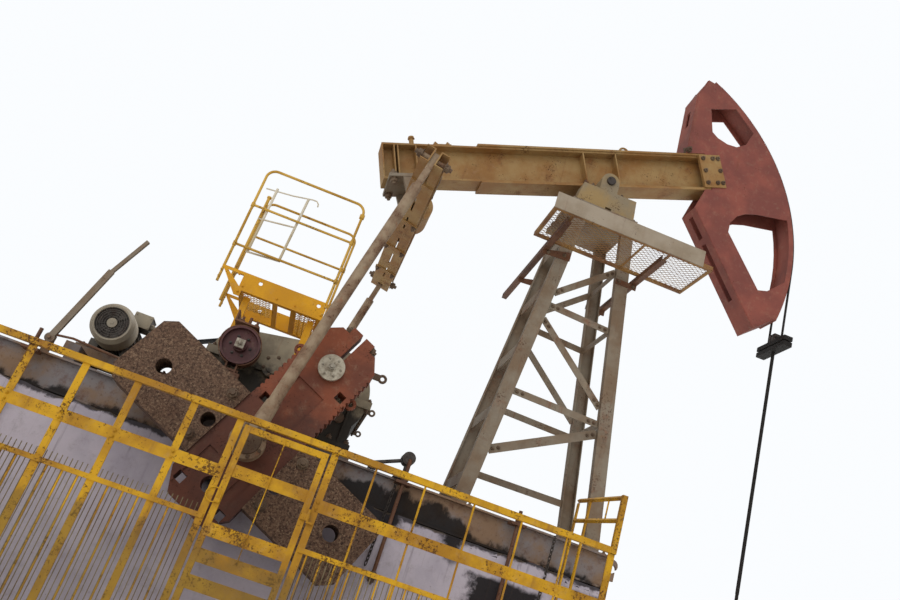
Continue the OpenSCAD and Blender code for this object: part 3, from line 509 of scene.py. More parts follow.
# %% Bent bars
def add_path(bm, points, radius, sides=8):
    """A round bar bent along points: one ring of edges, extruded from point to point."""
    points = [Vector(p) for p in points]
    heading = (points[1] - points[0]).normalized()
    place = Matrix.Translation(points[0]) @ heading.to_track_quat("Z", "Y").to_matrix().to_4x4()
    made = bmesh.ops.create_circle(bm, cap_ends=True, segments=sides, radius=radius, matrix=place)
    edges = edges_of(made)
    for i in range(1, len(points)):
        after = points[min(i + 1, len(points) - 1)] - points[i - 1]
        swing = heading.rotation_difference(after.normalized()).to_matrix().to_4x4()
        grown = bmesh.ops.extrude_edge_only(bm, edges=edges)["geom"]
        verts = [g for g in grown if isinstance(g, bmesh.types.BMVert)]
        edges = [g for g in grown if isinstance(g, bmesh.types.BMEdge)]
        move = Matrix.Translation(points[i]) @ swing @ Matrix.Translation(-points[i - 1])
        bmesh.ops.transform(bm, matrix=move, verts=verts)
        heading = after.normalized()
    bmesh.ops.contextual_create(bm, geom=edges)


# %% Ending a mesh
SHARP_ANGLE = math.radians(32.0)


def as_object(name, bm, finish):
    mesh = bpy.data.meshes.new(name)
    bm.to_mesh(mesh)
    bm.free()
    mesh.materials.append(finish)
    made = bpy.data.objects.new(name, mesh)
    bpy.context.scene.collection.objects.link(made)
    return made


def piece(name, bm, body, finish):
    """Ends a mesh: faces outwards, soft shading on round parts, its finish and its body."""
    bmesh.ops.recalc_face_normals(bm, faces=bm.faces)
    made = as_object(name, bm, finish)
    made.data.shade_smooth()
    made.data.set_sharp_from_angle(angle=SHARP_ANGLE)
    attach(made, body)
    print(name, "has", len(made.data.polygons), "faces")
    return made


# %% Rows of nuts
bolt_steel = weathered("bolt_steel", (110, 92, 74), (84, 66, 52), 0.5, 0.5, 0.3, 0.35)
plain_steel = bare_metal("plain_steel", colour(150, 142, 128), colour(112, 98, 82), 0.35)


def nuts(name, body, across, spots, base=LEVEL, finish=bolt_steel):
    bm = bmesh.new()
    for point, side in spots:
        add_nut(bm, point, side, across, base)
    piece(name, bm, body, finish)


# %% [markdown]
# ## Fittings of the beam
# The beam is bolted to the saddle's clamp under it and to the bearing of the yoke, with
# nuts big enough to show from the ground. A cover plate, a lifting loop and the tail's
# pin stand on its top flange, and a hinge pin goes through the horsehead's upper corner.

# %% Nuts of the beam
SADDLE_NUTS = [((x, y, z), side) for z, side in ((0.118, "+z"), (-0.065, "-z"))
               for x in (-0.12, 0.12) for y in (-0.085, 0.085)]
YOKE_FOOT = [((-1.85 + x, y, z), side) for z, side in ((0.07, "-z"), (0.1, "+z"))
             for x in (-0.2, 0.2) for y in (-0.16, 0.16)]
nuts("saddle_nuts", "beam_set", 0.046, SADDLE_NUTS, BEAM)
nuts("yoke_foot_nuts", "beam_set", 0.062, YOKE_FOOT, BEAM)
CHEEK_Y = 0.1423
CHEEK_NUTS = [((x, s * CHEEK_Y, z), away(s))
              for x in (1.2, 1.31, 1.37) for s in (-1, 1) for z in (0.15, 0.29, 0.43)
              if x != 1.31 or z != 0.29]
nuts("socket_nuts", "beam_set", 0.036, CHEEK_NUTS, BEAM)

# %% Cover plate, lifting loop and tail pin
bm = bmesh.new()
add_block(bm, (-1.63, -0.085, 0.475), (-1.45, 0.085, 0.497), BEAM, 0.003)
add_block(bm, (0.33, -0.03, 0.495), (0.46, 0.03, 0.51), BEAM, 0.003)
for x in (-1.6, -1.48):
    for y in (-0.055, 0.055):
        add_nut(bm, (x, y, 0.497), "+z", 0.036, BEAM)
add_ring(bm, BEAM @ upright(0.395, 0.0, 0.545), 0.045, 0.011)
add_disc(bm, spot((-1.821, 0.0, 0.475), "+z", BEAM), 0.024, 0.11, 20)
add_disc(bm, spot((-1.821, 0.0, 0.585), "+z", BEAM), 0.034, 0.022, 20, 0.028)
piece("beam_top_fittings", bm, "beam_set", beam_paint)

# %% Hinge pin
bm = bmesh.new()
add_disc(bm, spot((1.062, 0.158, 0.528), "-y", BEAM), 0.02, 0.316, 20)
for s in (-1, 1):
    add_nut(bm, (1.062, s * 0.132, 0.528), away(s), 0.05, BEAM, shank=0.5)
for y in (-0.112, 0.112):
    add_block(bm, (1.02, y - 0.01, 0.497), (1.11, y + 0.01, 0.56), BEAM, 0.002)
piece("horsehead_hinge_pin", bm, "beam_set", bolt_steel)

# %% [markdown]
# ## Welds
# The cover plates and the stiffeners are welded on. A bead of weld is a row of small
# overlapping drops, so it is made as a bent bar whose points wander a little.

# %% Weld beads
DROP, WANDER = 0.03, 0.0015


def add_bead(bm, base, start, end, radius=0.005):
    start, end = Vector(start), Vector(end)
    count = max(3, int((end - start).length / DROP))
    chance = random.Random(round(start.x * 1000) + round(end.z * 700))
    points = []
    for i in range(count + 1):
        wander = Vector([chance.uniform(-WANDER, WANDER) for _ in range(3)])
        points.append(base @ (start.lerp(end, i / count) + wander))
    add_path(bm, points, radius, 6)


# %% Welds of the beam
bm = bmesh.new()
for y in (-0.1065, 0.1065):
    add_bead(bm, BEAM, (-1.2, y, 0.0985), (-0.16, y, 0.0985))
    add_bead(bm, BEAM, (0.16, y, 0.0985), (1.15, y, 0.0985))
    add_bead(bm, BEAM, (-1.2, y, 0.4765), (1.02, y, 0.4765))
for x in (-2.02, -1.985, -1.812, -0.115, 0.234):
    for s in (-1, 1):
        add_bead(bm, BEAM, (x, s * 0.0085, 0.12), (x, s * 0.0085, 0.455))
        add_bead(bm, BEAM, (x, s * 0.01, 0.1195), (x, s * 0.1, 0.1195))
piece("beam_welds", bm, "beam_set", beam_paint)

# %% [markdown]
# ## Horsehead
# The steel ropes lie over the curved face. The plates have a bead of weld where the rear
# webs meet them, laid from corner to corner with the helper above.

# %% Welds of the horsehead
bm = bmesh.new()
UPPER_WEB = [(1.482, 1.392), (1.318, 1.215), (1.045, 0.515)]
LOWER_WEB = [(1.005, -0.135), (1.352, -1.39), (1.59, -1.31)]
WEB_Y = 0.131 * 0.985
for y in (-WEB_Y, WEB_Y):
    for line in (UPPER_WEB, LOWER_WEB):
        for a, b in zip(line, line[1:]):
            add_bead(bm, BEAM, (a[0], y, a[1]), (b[0], y, b[1]), 0.006)
piece("head_welds", bm, "beam_set", head_paint)

# %% [markdown]
# ## Yoke and pitmans
# The yoke's channels are strapped together with bolts from below, a large bolt carries
# each pitman's flat top end between them, and the foot of a pitman is a housing with a
# bolted cap round the crank pin. The cap is a low cone with a ring of nuts, so that its
# bevel catches the light.

# %% Nuts of the yoke and the pitmans
YOKE_NUTS = [((x, y + 0.03, -0.092), "-z") for x in (-0.085, 0.085) for y in (-0.33, 0.25, 0.8)]
YOKE_NUTS += [((x, y, 0.08), "+z") for x in (-0.075, 0.075) for y in (-0.37, -0.22, 0.22, 0.37)]
nuts("yoke_nuts", "yoke_set", 0.036, YOKE_NUTS, YOKE)
PITMAN_Y = PIN.y + 1.265
PITMAN_BOLTS = [((s * 0.1, y, 0.0), away(s, "x")) for s in (-1, 1) for y in (-PITMAN_Y, PITMAN_Y)]
nuts("pitman_bolts", "yoke_set", 0.066, PITMAN_BOLTS, YOKE)
HOUSING_X, HOUSING_Y, HOUSING_Z = -1.6273, 0.16, 4.2976
HOUSING_NUTS = [(p, away(s)) for s in (-1, 1)
                for p in ring_of((HOUSING_X, s * HOUSING_Y, HOUSING_Z), 0.122, 5, 205.0, 130.0)]
nuts("yoke_bearing_nuts", "yoke_set", 0.022, HOUSING_NUTS)

# %% Caps on the pitmans' feet
bm = bmesh.new()
for s in (-1, 1):
    centre = (PIN.x, s * (PITMAN_Y + 0.065), PIN.z)
    add_disc(bm, spot(centre, away(s)), 0.09, 0.012, 36, 0.085)
    for point in ring_of(centre, 0.104, 8, 22.5):
        add_nut(bm, point, away(s), 0.019)
piece("pitman_foot_caps", bm, "yoke_set", bolt_steel)

# %% [markdown]
# ## Cranks and counterweights
# Two bolts hold each counterweight to the edge of its crank, two more draw the split hub
# together on the shaft, and the crank pin has a large nut inside. The shaft's end has a
# ring of small bolts round one large nut. All of them turn with the crank's body.

# %% Nuts of the cranks
OUTER, INNER, HUB_Y = 1.05, 0.8, 1.086
WEIGHT_NUTS = [((u, s * y, v), away(s if y == OUTER else -s)) for u in (0.6, 0.98)
               for v in (-0.335, 0.335) for s in (-1, 1) for y in (INNER, OUTER)]
nuts("weight_nuts", "crank_set", 0.062, WEIGHT_NUTS, CRANK)
EAR_NUTS = [((-0.318, s * y, v * 0.1), away(v, "z"))
            for s in (-1, 1) for y in (0.91, 0.99) for v in (-1, 1)]
nuts("ear_nuts", "crank_set", 0.046, EAR_NUTS, CRANK)
PIN_NUTS = [((PIN.x, s * 0.872, PIN.z), away(-s)) for s in (-1, 1)]
nuts("pin_nuts", "crank_set", 0.11, PIN_NUTS, finish=dark_metal)
HUB_BOLTS = [((p[0], s * HUB_Y, p[2]), away(s))
             for s in (-1, 1) for p in ring_of((SHAFT.x, 0.0, SHAFT.z), 0.066, 6)]
nuts("hub_bolts", "crank_set", 0.014, HUB_BOLTS, finish=plain_steel)
HUB_NUTS = [((SHAFT.x, s * HUB_Y, SHAFT.z), away(s)) for s in (-1, 1)]
nuts("hub_nuts", "crank_set", 0.045, HUB_NUTS, finish=plain_steel)

# %% [markdown]
# ## Gearbox
# The case and the cover meet in a wide flange that is bolted all along, apart from where
# the bearing caps are in the way. Each cap has its own ring of bolts, the case is held
# down on its stand by a row of large ones, and lifting eyes stick out of its front end.

# %% Lifting eyes
bm = bmesh.new()
for s in (-1, 1):
    for x, z, size in ((-1.405, 2.573, 0.027), (-1.392, 2.286, 0.02)):
        y = s * 0.43
        add_ring(bm, upright(x, y, z), size, size * 0.42, 20)
        add_block(bm, (-1.52, y - 0.008, z - size), (x - size, y + 0.008, z + size), edge=0.003)
piece("gearbox_eyes", bm, "base", bolt_steel)

# %% Flange bolts
CAP_REACH = {"slow": 0.17, "middle": 0.11, "fast": 0.11}
ABOVE, UNDER = SHAFT.z + 0.015, SHAFT.z - 0.045
SIDE_Y, END_X = 0.468, (-2.722, -1.437)


def clear_of_caps(x):
    return all(abs(x - GEAR_X[k]) > CAP_REACH[k] for k in GEAR_X)


bm = bmesh.new()
along = [-2.7 + 0.105 * i for i in range(13)]
spots = [(x, s * SIDE_Y) for x in along if clear_of_caps(x) for s in (-1, 1)]
spots += [(x, y) for x in END_X for y in (-0.39, -0.26, -0.13, 0.0, 0.13, 0.26, 0.39)]
for x, y in spots:
    add_nut(bm, (x, y, ABOVE), "+z", 0.03)
    add_nut(bm, (x, y, UNDER), "-z", 0.03)
piece("gearbox_flange_bolts", bm, "base", bolt_steel)

# %% Bearing cap bolts
bm = bmesh.new()
# X, Z and Y of a cap's face, the radius of its ring, and the count and size of its nuts.
rings = ((GEAR_X["slow"], SHAFT.z, 0.56, 0.122, 8, 0.03),
         (GEAR_X["middle"], SHAFT.z, 0.56, 0.076, 6, 0.022),
         (GEAR_X["fast"], DRUM.z, 0.515, 0.068, 6, 0.02))
for x, z, y, radius, count, across in rings:
    for s in (-1, 1):
        for point in ring_of((x, s * y, z), radius, count, 22.5):
            add_nut(bm, point, away(s), across)
piece("bearing_cap_bolts", bm, "base", bolt_steel)

# %% Inspection cover
bm = bmesh.new()
slope = math.atan2(0.122, 0.683)
base = Matrix.Translation((-2.15, 0.0, 2.631)) @ Matrix.Rotation(-slope, 4, "Y")
add_block(bm, (-0.18, -0.24, -0.004), (0.18, 0.24, 0.014), base, 0.003)
for x in (-0.155, 0.0, 0.155):
    for y in (-0.215, -0.07, 0.07, 0.215):
        if abs(x) > 0.1 or abs(y) > 0.1:
            add_nut(bm, (x, y, 0.014), "+z", 0.022, base)
add_disc(bm, spot((0.0, 0.0, 0.014), "+z", base), 0.035, 0.05, 24, 0.03)
piece("inspection_cover", bm, "base", gear_paint)

# %% Stand bolts, drain plug and oil gauge
STAND_Y, STAND_TOP, CASE_Y = 0.452, 1.985, -0.45
bm = bmesh.new()
for x in (-2.6, -2.36, -2.12, -1.9, -1.64, -1.5):
    for s in (-1, 1):
        add_nut(bm, (x, s * STAND_Y, STAND_TOP), "+z", 0.04)
add_disc(bm, spot((-2.05, CASE_Y, 2.04), "-y"), 0.03, 0.03, 6)
add_disc(bm, spot((-1.62, CASE_Y, 2.16), "-y"), 0.04, 0.016, 30)
add_disc(bm, spot((-1.62, CASE_Y - 0.016, 2.16), "-y"), 0.028, 0.006, 30)
piece("gearbox_stand_bolts", bm, "base", bolt_steel)

# %% [markdown]
# ## Brake
# The drum sits on the fast shaft in front of the gearbox, with a square washer and a nut
# on the shaft's end. A bracket over it holds the band, and a thin rod runs back along the
# frame to the foot of the hand lever. The rod is one bent bar, as a smith would make it.

# %% Brake bracket
bm = bmesh.new()
add_block(bm, (-2.6, -0.742, 2.513), (-2.41, -0.44, 2.527), edge=0.003)
add_block(bm, (-2.6, -0.742, 2.527), (-2.586, -0.44, 2.6), edge=0.003)
add_block(bm, (-2.6, -0.456, 2.42), (-2.41, -0.44, 2.513), edge=0.003)
for x, y in ((-2.55, -0.69), (-2.44, -0.69), (-2.44, -0.52)):
    add_nut(bm, (x, y, 2.527), "+z", 0.034, shank=0.8)
add_rod(bm, (-2.495, -0.69, 2.5), (-2.495, -0.69, 2.585), 0.012)
piece("brake_bracket", bm, "base", rusty_steel)

# %% Brake rod
bm = bmesh.new()
add_path(bm, [(-3.722, -0.592, 1.985), (-3.6, -0.6, 2.0), (-3.13, -0.628, 1.968),
              (-2.72, -0.664, 1.985), (-2.6, -0.69, 2.06), (-2.555, -0.69, 2.12)], 0.009)
add_block(bm, (-3.16, -0.642, 1.956), (-3.09, -0.616, 1.982), edge=0.004)
for x in (-3.19, -3.06):
    add_nut(bm, (x, -0.629, 1.969), away(x + 3.125, "x"), 0.022)
add_block(bm, (-2.92, -0.66, FRAME_TOP), (-2.905, -0.6, 1.995), edge=0.002)
piece("brake_rod", bm, "base", rusty_steel)

# %% Bolts, square washer and nut on the brake drum
DRUM_BOLTS = [(p, "-y") for p in ring_of((DRUM.x, -0.7, DRUM.z), 0.075, 6)]
nuts("drum_bolts", "fast_set", 0.018, DRUM_BOLTS, finish=dark_metal)
bm = bmesh.new()
x, y, z = DRUM.x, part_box("brake_drum")[0][1], DRUM.z
add_block(bm, (x - 0.034, y - 0.008, z - 0.034), (x + 0.034, y, z + 0.034), edge=0.003)
add_nut(bm, (x, y - 0.008, z), "-y", 0.03, shank=0.3)
piece("drum_plate", bm, "fast_set", plain_steel)

# %% [markdown]
# ## Motor
# A fan turns behind a guard at the motor's rear end: rings of wire on four spokes, with
# a round plate in the middle. Real rings show the fan between them, which a pattern in
# the finish couldn't. The motor has a terminal box with a cable gland, and bolts that
# slide it along its rails to tighten the belt.

# %% Fan guard
MOTOR = Vector((-3.455, 0.0, 2.245))
bm = bmesh.new()
face = spot((MOTOR.x, -0.4415, MOTOR.z), "-y")
for radius in (0.034, 0.052, 0.07, 0.088, 0.106, 0.121):
    add_ring(bm, face, radius, 0.0024, 36)
hub = (MOTOR.x, -0.4385, MOTOR.z)
inner, outer = (ring_of(hub, radius, 4, 45.0) for radius in (0.02, 0.123))
for start, end in zip(inner, outer):
    add_rod(bm, start, end, 0.0028, 8)
piece("fan_guard", bm, "base", motor_paint)

# %% Plate in the middle of the guard
bm = bmesh.new()
add_disc(bm, face, 0.038, 0.004, 32, 0.036)
add_disc(bm, face @ Matrix.Translation((0.0, 0.0, 0.004)), 0.011, 0.004, 20)
piece("fan_guard_plate", bm, "base", cream_paint)

# %% Fan
BLADES, BLADE_TURN = 9, 0.698
bm = bmesh.new()
add_disc(bm, spot((MOTOR.x, -0.4248, MOTOR.z), "-y"), 0.122, 0.002, 48)
for i in range(BLADES):
    blade = spot((MOTOR.x, -0.4268, MOTOR.z), "-y") @ Matrix.Rotation(i * BLADE_TURN, 4, "Z")
    add_block(bm, (0.03, -0.003, 0.0), (0.112, 0.003, 0.008), blade)
piece("fan", bm, "base", dark_metal)

# %% Terminal box
bm = bmesh.new()
add_block(bm, (-3.402, -0.178, 2.352), (-3.258, -0.166, 2.464), edge=0.004)
for x in (-3.388, -3.272):
    for z in (2.366, 2.45):
        add_disc(bm, spot((x, -0.178, z), "-y"), 0.008, 0.006, 6)
add_block(bm, (-3.4, -0.172, 2.46), (-3.26, 0.022, 2.468), edge=0.003)
add_disc(bm, spot((-3.265, -0.09, 2.4), "+x"), 0.026, 0.02, 6)
add_disc(bm, spot((-3.245, -0.09, 2.4), "+x"), 0.019, 0.03, 18, 0.015)
piece("terminal_box_lid", bm, "base", cream_paint)

# %% Slide bolts
bm = bmesh.new()
rail, bolt = 2.055, 2.095
for y in (-0.18, 0.14):
    x = MOTOR.x
    add_block(bm, (x + 0.3, y - 0.03, rail), (x + 0.325, y + 0.03, 2.125), edge=0.002)
    add_rod(bm, (x + 0.17, y, bolt), (x + 0.37, y, bolt), 0.011, 12)
    add_nut(bm, (x + 0.325, y, bolt), "+x", 0.036)
    for x in (MOTOR.x - 0.19, MOTOR.x + 0.19):
        add_block(bm, (x - 0.045, y - 0.035, rail), (x + 0.045, y + 0.035, 2.068), edge=0.002)
        add_nut(bm, (x, y, 2.068), "+z", 0.03)
piece("slide_bolts", bm, "base", bolt_steel)

# %% Lifting eye of the motor
bm = bmesh.new()
add_disc(bm, spot((MOTOR.x, -0.03, MOTOR.z + 0.15), "+z"), 0.022, 0.016, 24)
add_ring(bm, upright(MOTOR.x, -0.03, MOTOR.z + 0.19), 0.026, 0.007)
piece("motor_lifting_eye", bm, "base", motor_paint)

# %% [markdown]
# ## Post
# The legs stand on foot plates that are bolted to the frame, the braces are bolted to the
# legs' webs, and the saddle's two bearing blocks are bolted to the cap. The legs lean, so
# a small function says how far along X a leg is at a given height.

# %% Nuts at the post's feet and cap
CAP_UNDER, LEG_Y, BRACE_Y = 4.855, 0.32, 0.313
# How far along X each leg stands at the cap and at the frame.
LEGS = {"rear": (-0.178, -0.52), "front": (0.27, 0.625)}


def leg_x(leg, z):
    top, foot = LEGS[leg]
    return foot + (top - foot) * (z - FRAME_TOP) / (CAP_UNDER - FRAME_TOP)


FOOT_NUTS = [((foot + dx, s * (LEG_Y + dy), FRAME_TOP + 0.02), "+z")
             for _, foot in LEGS.values() for dx in (-0.085, 0.085) for dy in (-0.055, 0.062)
             for s in (-1, 1)]
nuts("foot_nuts", "base", 0.038, FOOT_NUTS)
CAP_NUTS = [((x, s * y, z), "+z") for z, across_x, across_y in
            ((4.875, (-0.29, 0.318), (0.225, 0.335)), (5.09, (-0.15, 0.15), (0.24, 0.325)))
            for x in across_x for y in across_y for s in (-1, 1)]
nuts("cap_nuts", "base", 0.042, CAP_NUTS)

# %% Brace bolts
# The heights at which a brace meets the rear and the front leg, and on which side.
ENDS = [(3.904, 4.331), (3.78, 3.75), (3.638, 3.04), (2.919, 2.9)]
BRACES = [(rear, front, s) for rear, front in ENDS for s in (-1, 1)]
BRACES += [(2.374, 2.816, -1), (2.287, 2.3, 1)]
bm = bmesh.new()
for rear, front, s in BRACES:
    start = Vector((leg_x("rear", rear) + 0.06, s * BRACE_Y, rear))
    end = Vector((leg_x("front", front) - 0.06, s * BRACE_Y, front))
    along = (end - start).normalized()
    for point, way in ((start, along), (end, -along)):
        for reach in (0.035, 0.085):
            add_nut(bm, point + way * reach, away(s), 0.024)
piece("brace_bolts", bm, "base", bolt_steel)

# %% [markdown]
# ## Expanded metal
# The walkway and the platform are floored with expanded metal, a steel sheet that is slit
# and pulled open into diamonds. A strand runs zigzag from side to side, and its neighbour
# is its mirror image, so the floor is a row of bent bars. A picture of mesh with clear
# holes would be lighter, but here one looks up through the floor from close by.

# %% Expanded metal
CELL, ROW, STRAND = 0.05, 0.021, 0.0027
WALKWAY_MESH_Z, PLATFORM_MESH_Z = 4.3125, 2.823


def add_expanded(bm, low, high, z):
    steps = max(2, round((high[0] - low[0]) / (CELL / 2)))
    rows = max(2, round((high[1] - low[1]) / ROW))
    pitch = (high[1] - low[1]) / rows
    for r in range(rows):
        points = []
        for i in range(steps + 1):
            x = low[0] + (high[0] - low[0]) * i / steps
            sway = 0.48 if (i + r) % 2 else -0.48
            points.append((x, low[1] + pitch * (r + 0.5 + sway), z + 0.002 * (-1) ** i))
        add_path(bm, points, STRAND, 4)


# %% Floor of the walkway
bm = bmesh.new()
for x0, x1 in ((-0.556, -0.414), (-0.401, 0.246), (0.254, 0.476), (0.489, 0.846)):
    add_expanded(bm, (x0, -0.966), (x1, -0.454), WALKWAY_MESH_Z)
piece("walkway_mesh", bm, "base", deck_paint)

# %% Floor of the platform
bm = bmesh.new()
add_expanded(bm, (-2.245, -0.535), (-2.035, 0.085), PLATFORM_MESH_Z)
add_expanded(bm, (-2.69, -0.5), (-2.44, -0.1), PLATFORM_MESH_Z)
piece("platform_mesh", bm, "base", rail_paint)

# %% [markdown]
# ## Walkway and platform
# The walkway hangs on two angles with bolts through them. The platform's railing is held
# by bolted clamps, and a loose ladder of pale bars leans against it on the inside.

# %% Nuts under the walkway
FLOOR, DECK = 2.82, 4.304
NEAR_RAIL, FAR_RAIL = -0.531, 0.081
DECK_NUTS = [((x, y, DECK - 0.044), "+z")
             for x in (-0.408, 0.468) for y in (-0.41, -0.37, 0.38, 0.44)]
DECK_NUTS += [((x, s * 0.358, z), away(s)) for x, z in
              ((-0.39, 4.24), (-0.24, 4.27), (0.31, 4.23), (0.45, 4.23)) for s in (-1, 1)]
nuts("walkway_nuts", "base", 0.026, DECK_NUTS)

# %% Railing clamps
bm = bmesh.new()
for y, s in ((NEAR_RAIL, -1), (FAR_RAIL, 1)):
    for x in (-2.879, -2.031):
        for z in (FLOOR + 0.345, FLOOR + 0.715):
            add_disc(bm, spot((x, y, z - 0.018), "+z"), 0.0155, 0.036, 20)
        for z in (FLOOR + 0.04, FLOOR + 0.1):
            add_nut(bm, (x, y + s * 0.014, z), away(s), 0.018)
add_block(bm, (-2.052, -0.55, 3.775), (-2.012, -0.512, 3.81), edge=0.004)
piece("railing_clamps", bm, "base", rail_paint)

# %% Loose ladder of pale bars, hooked over the near railing
bm = bmesh.new()
y = -0.507
add_rod(bm, (-2.765, y, 3.15), (-2.757, y, 3.76), 0.011)
add_rod(bm, (-2.511, y, 3.165), (-2.494, y, 3.775), 0.011)
add_path(bm, [(-2.843, y, 3.726), (-2.62, y, 3.752), (-2.46, y, 3.785), (-2.425, y, 3.785),
              (-2.405, y, 3.765), (-2.402, y, 3.74)], 0.006)
add_rod(bm, (-2.8, y, 3.447), (-2.5, y, 3.49), 0.007)
add_rod(bm, (-2.78, y, 3.142), (-2.5, y, 3.165), 0.008)
piece("leaning_bars", bm, "base", bar_paint)

# %% Upright at the railing's rear end
bm = bmesh.new()
add_rod(bm, (-2.866, -0.09, 2.824), (-2.866, -0.05, 3.87), 0.014, 14)
add_disc(bm, spot((-2.866, -0.05, 3.868), "+z"), 0.02, 0.016, 18)
piece("end_upright", bm, "base", rail_paint)

# %% Toe board bolts
bm = bmesh.new()
for y, side in ((-0.55, "-y"), (0.1, "+y")):
    for x in (-2.68, -2.4, -2.25, -2.04):
        add_nut(bm, (x, y, FLOOR + 0.025), side, 0.014)
    for x, z in ((-2.74, 2.93), (-2.7, 2.79)):
        add_nut(bm, (x, y, z), side, 0.016)
piece("toe_board_bolts", bm, "base", floor_paint)

# %% [markdown]
# ## Fence
# The lower panels of the fence are closed with thin rods, far closer than its posts, so
# one function fills a panel from end to end. The gate has one more rod in its middle and
# a ring to pull it by, and a short panel turns back from the fence's front end towards
# the foundation.

# %% Thin rods of the fence
FENCE_Y, FENCE_FACE = 1.5, -1.508
PICKET_GAP, PICKET_RADIUS, PICKET_FOOT = 0.03, 0.003, 0.14


def make_pickets(name, x0, x1, y, top):
    bm = bmesh.new()
    count = int((x1 - x0) / PICKET_GAP)
    for i in range(count):
        x = x0 + (i + 0.5) * (x1 - x0) / count
        add_rod(bm, (x, y + 0.004, PICKET_FOOT), (x, y + 0.004, top), PICKET_RADIUS, 6)
    piece(name, bm, "base", picket_paint)


make_pickets("rear_pickets", -4.13, -2.2, -FENCE_Y, 1.16)
make_pickets("front_pickets", -1.57, 0.31, -FENCE_Y, 1.085)
make_pickets("far_pickets", -4.13, 0.31, FENCE_Y, 1.085)

# %% Rod and ring of the gate
bm = bmesh.new()
add_rod(bm, (-1.9, -1.519, 0.9), (-1.9, -1.519, 1.67), 0.0035, 8)
add_ring(bm, upright(-2.178, -1.522, 1.23, 80.0), 0.045, 0.004)
add_block(bm, (-2.163, -1.53, 1.19), (-2.128, -1.515, 1.215), edge=0.002)
piece("gate_rod_and_ring", bm, "gate_leaf", fence_paint)

# %% Fence bolts
bm = bmesh.new()
for x in (-4.137, -3.837, -3.504, -3.179, -2.855, -2.497, -1.583, 0.312):
    for z in (1.35, 1.385):
        add_nut(bm, (x, FENCE_FACE, z), "-y", 0.018)
for x in (-1.31, -0.98, -0.645, -0.317, 0.0):
    add_disc(bm, spot((x, FENCE_FACE, 1.367), "-y"), 0.012, 0.006, 16)
piece("fence_bolts", bm, "base", fence_paint)

# %% Return panel
RETURN_X, RETURN_TOP = 0.317, 2.09
RETURN_REACH, RETURN_RISE = 0.835, 0.075


def on_return(y, z):
    """A point of the panel, so far back from the fence, on a rail that rises a little."""
    return RETURN_X, y - FENCE_Y, z + RETURN_RISE * y / RETURN_REACH


bm = bmesh.new()
x, upper, lower = RETURN_X, RETURN_TOP - 0.015, RETURN_TOP - 0.17
add_block(bm, (x - 0.018, -1.5235, 1.7), (x + 0.0195, -1.49, RETURN_TOP), edge=0.002)
for z in (upper, lower):
    add_path(bm, [on_return(0.0, z), on_return(RETURN_REACH, z)], 0.017, 4)
add_path(bm, [on_return(0.25, lower), on_return(0.25, RETURN_TOP - 0.02)], 0.006)
for y in (0.6, RETURN_REACH):
    add_block(bm, (x - 0.006, y - 1.516, 0.0), (x + 0.006, y - 1.484, RETURN_TOP + 0.04))
piece("return_panel", bm, "base", fence_paint)

# %% [markdown]
# ## Chains, hooks and pipe stub
# A slack chain hangs along the base frame from two hooks, two more chains hang straight
# down from hooks of their own, and a short pipe on a bracket stands on the frame's edge.
# A link is a ring that is pulled long, and each one is turned a quarter against the last.

# %% Links and hooks
PULLED_LONG = Matrix.Diagonal((1.9, 1.0, 1.0, 1.0))
HOOK_Z, CHAIN_Z = 1.846, 1.82


def add_chain(bm, start, end, sag, count):
    start, end = Vector(start), Vector(end)
    shares = [i / count for i in range(count + 1)]
    points = [start.lerp(end, u) - Vector((0, 0, sag * 4 * u * (1 - u))) for u in shares]
    for i in range(count):
        along = (points[i + 1] - points[i]).normalized()
        turn = along.to_track_quat("X", "Z").to_matrix().to_4x4()
        roll = Matrix.Rotation(math.radians(90.0 * (i % 2) + 20.0), 4, "X")
        place = Matrix.Translation((points[i] + points[i + 1]) / 2) @ turn @ roll
        add_ring(bm, place @ PULLED_LONG, 0.011, 0.0035, 14)


def add_hook(bm, x):
    bends = ((0.0, 0.0), (0.018, 0.0), (0.026, 0.016), (0.018, 0.034), (0.008, 0.026))
    add_path(bm, [(x, -0.6 - out, HOOK_Z - drop) for out, drop in bends], 0.005)


# %% Chains
bm = bmesh.new()
add_chain(bm, (-2.94, -0.618, CHAIN_Z), (-2.58, -0.618, 1.80), 0.13, 22)
add_hook(bm, -2.94)
add_hook(bm, -2.58)
for x in (-1.06, 0.215):
    add_chain(bm, (x, -0.62, CHAIN_Z), (x - 0.03, -0.665, 1.2), 0.0, 19)
    add_hook(bm, x)
piece("slack_chain", bm, "base", dark_metal)

# %% Pipe stub
bm = bmesh.new()
x, z = -1.03, 2.01
add_block(bm, (x - 0.07, -0.64, FRAME_TOP), (x + 0.05, -0.56, 1.862), edge=0.002)
add_block(bm, (x - 0.008, -0.64, 1.862), (x + 0.008, -0.56, z - 0.01), edge=0.002)
add_disc(bm, spot((x, -0.55, z), "-y"), 0.05, 0.11, 28)
add_disc(bm, spot((x, -0.66, z), "-y"), 0.038, 0.004, 28)
add_rod(bm, (x - 0.05, -0.62, z - 0.03), (x - 0.24, -0.62, 1.9), 0.014)
add_block(bm, (x - 0.27, -0.64, FRAME_TOP), (x - 0.21, -0.6, 1.905), edge=0.003)
piece("pipe_stub", bm, "base", dark_metal)

# %% [markdown]
# ## Anchor rods
# Threaded rods tie the frame down to lugs on the foundation, with two nuts above the
# frame and one under the lug.

# %% Anchor rod nuts
ROD_NUTS = [((x, s * 0.668, z), side) for x in (-3.8, -1.018, -0.105) for s in (-1, 1)
            for z, side in ((1.876, "+z"), (1.13, "-z"), (1.15, "+z"))]
nuts("anchor_rod_nuts", "base", 0.044, ROD_NUTS)

# %% [markdown]
# ## Carrier bar
# The two ropes end in a bar that carries the polished rod, and a split clamp with two
# bolts sits on the rod above it.

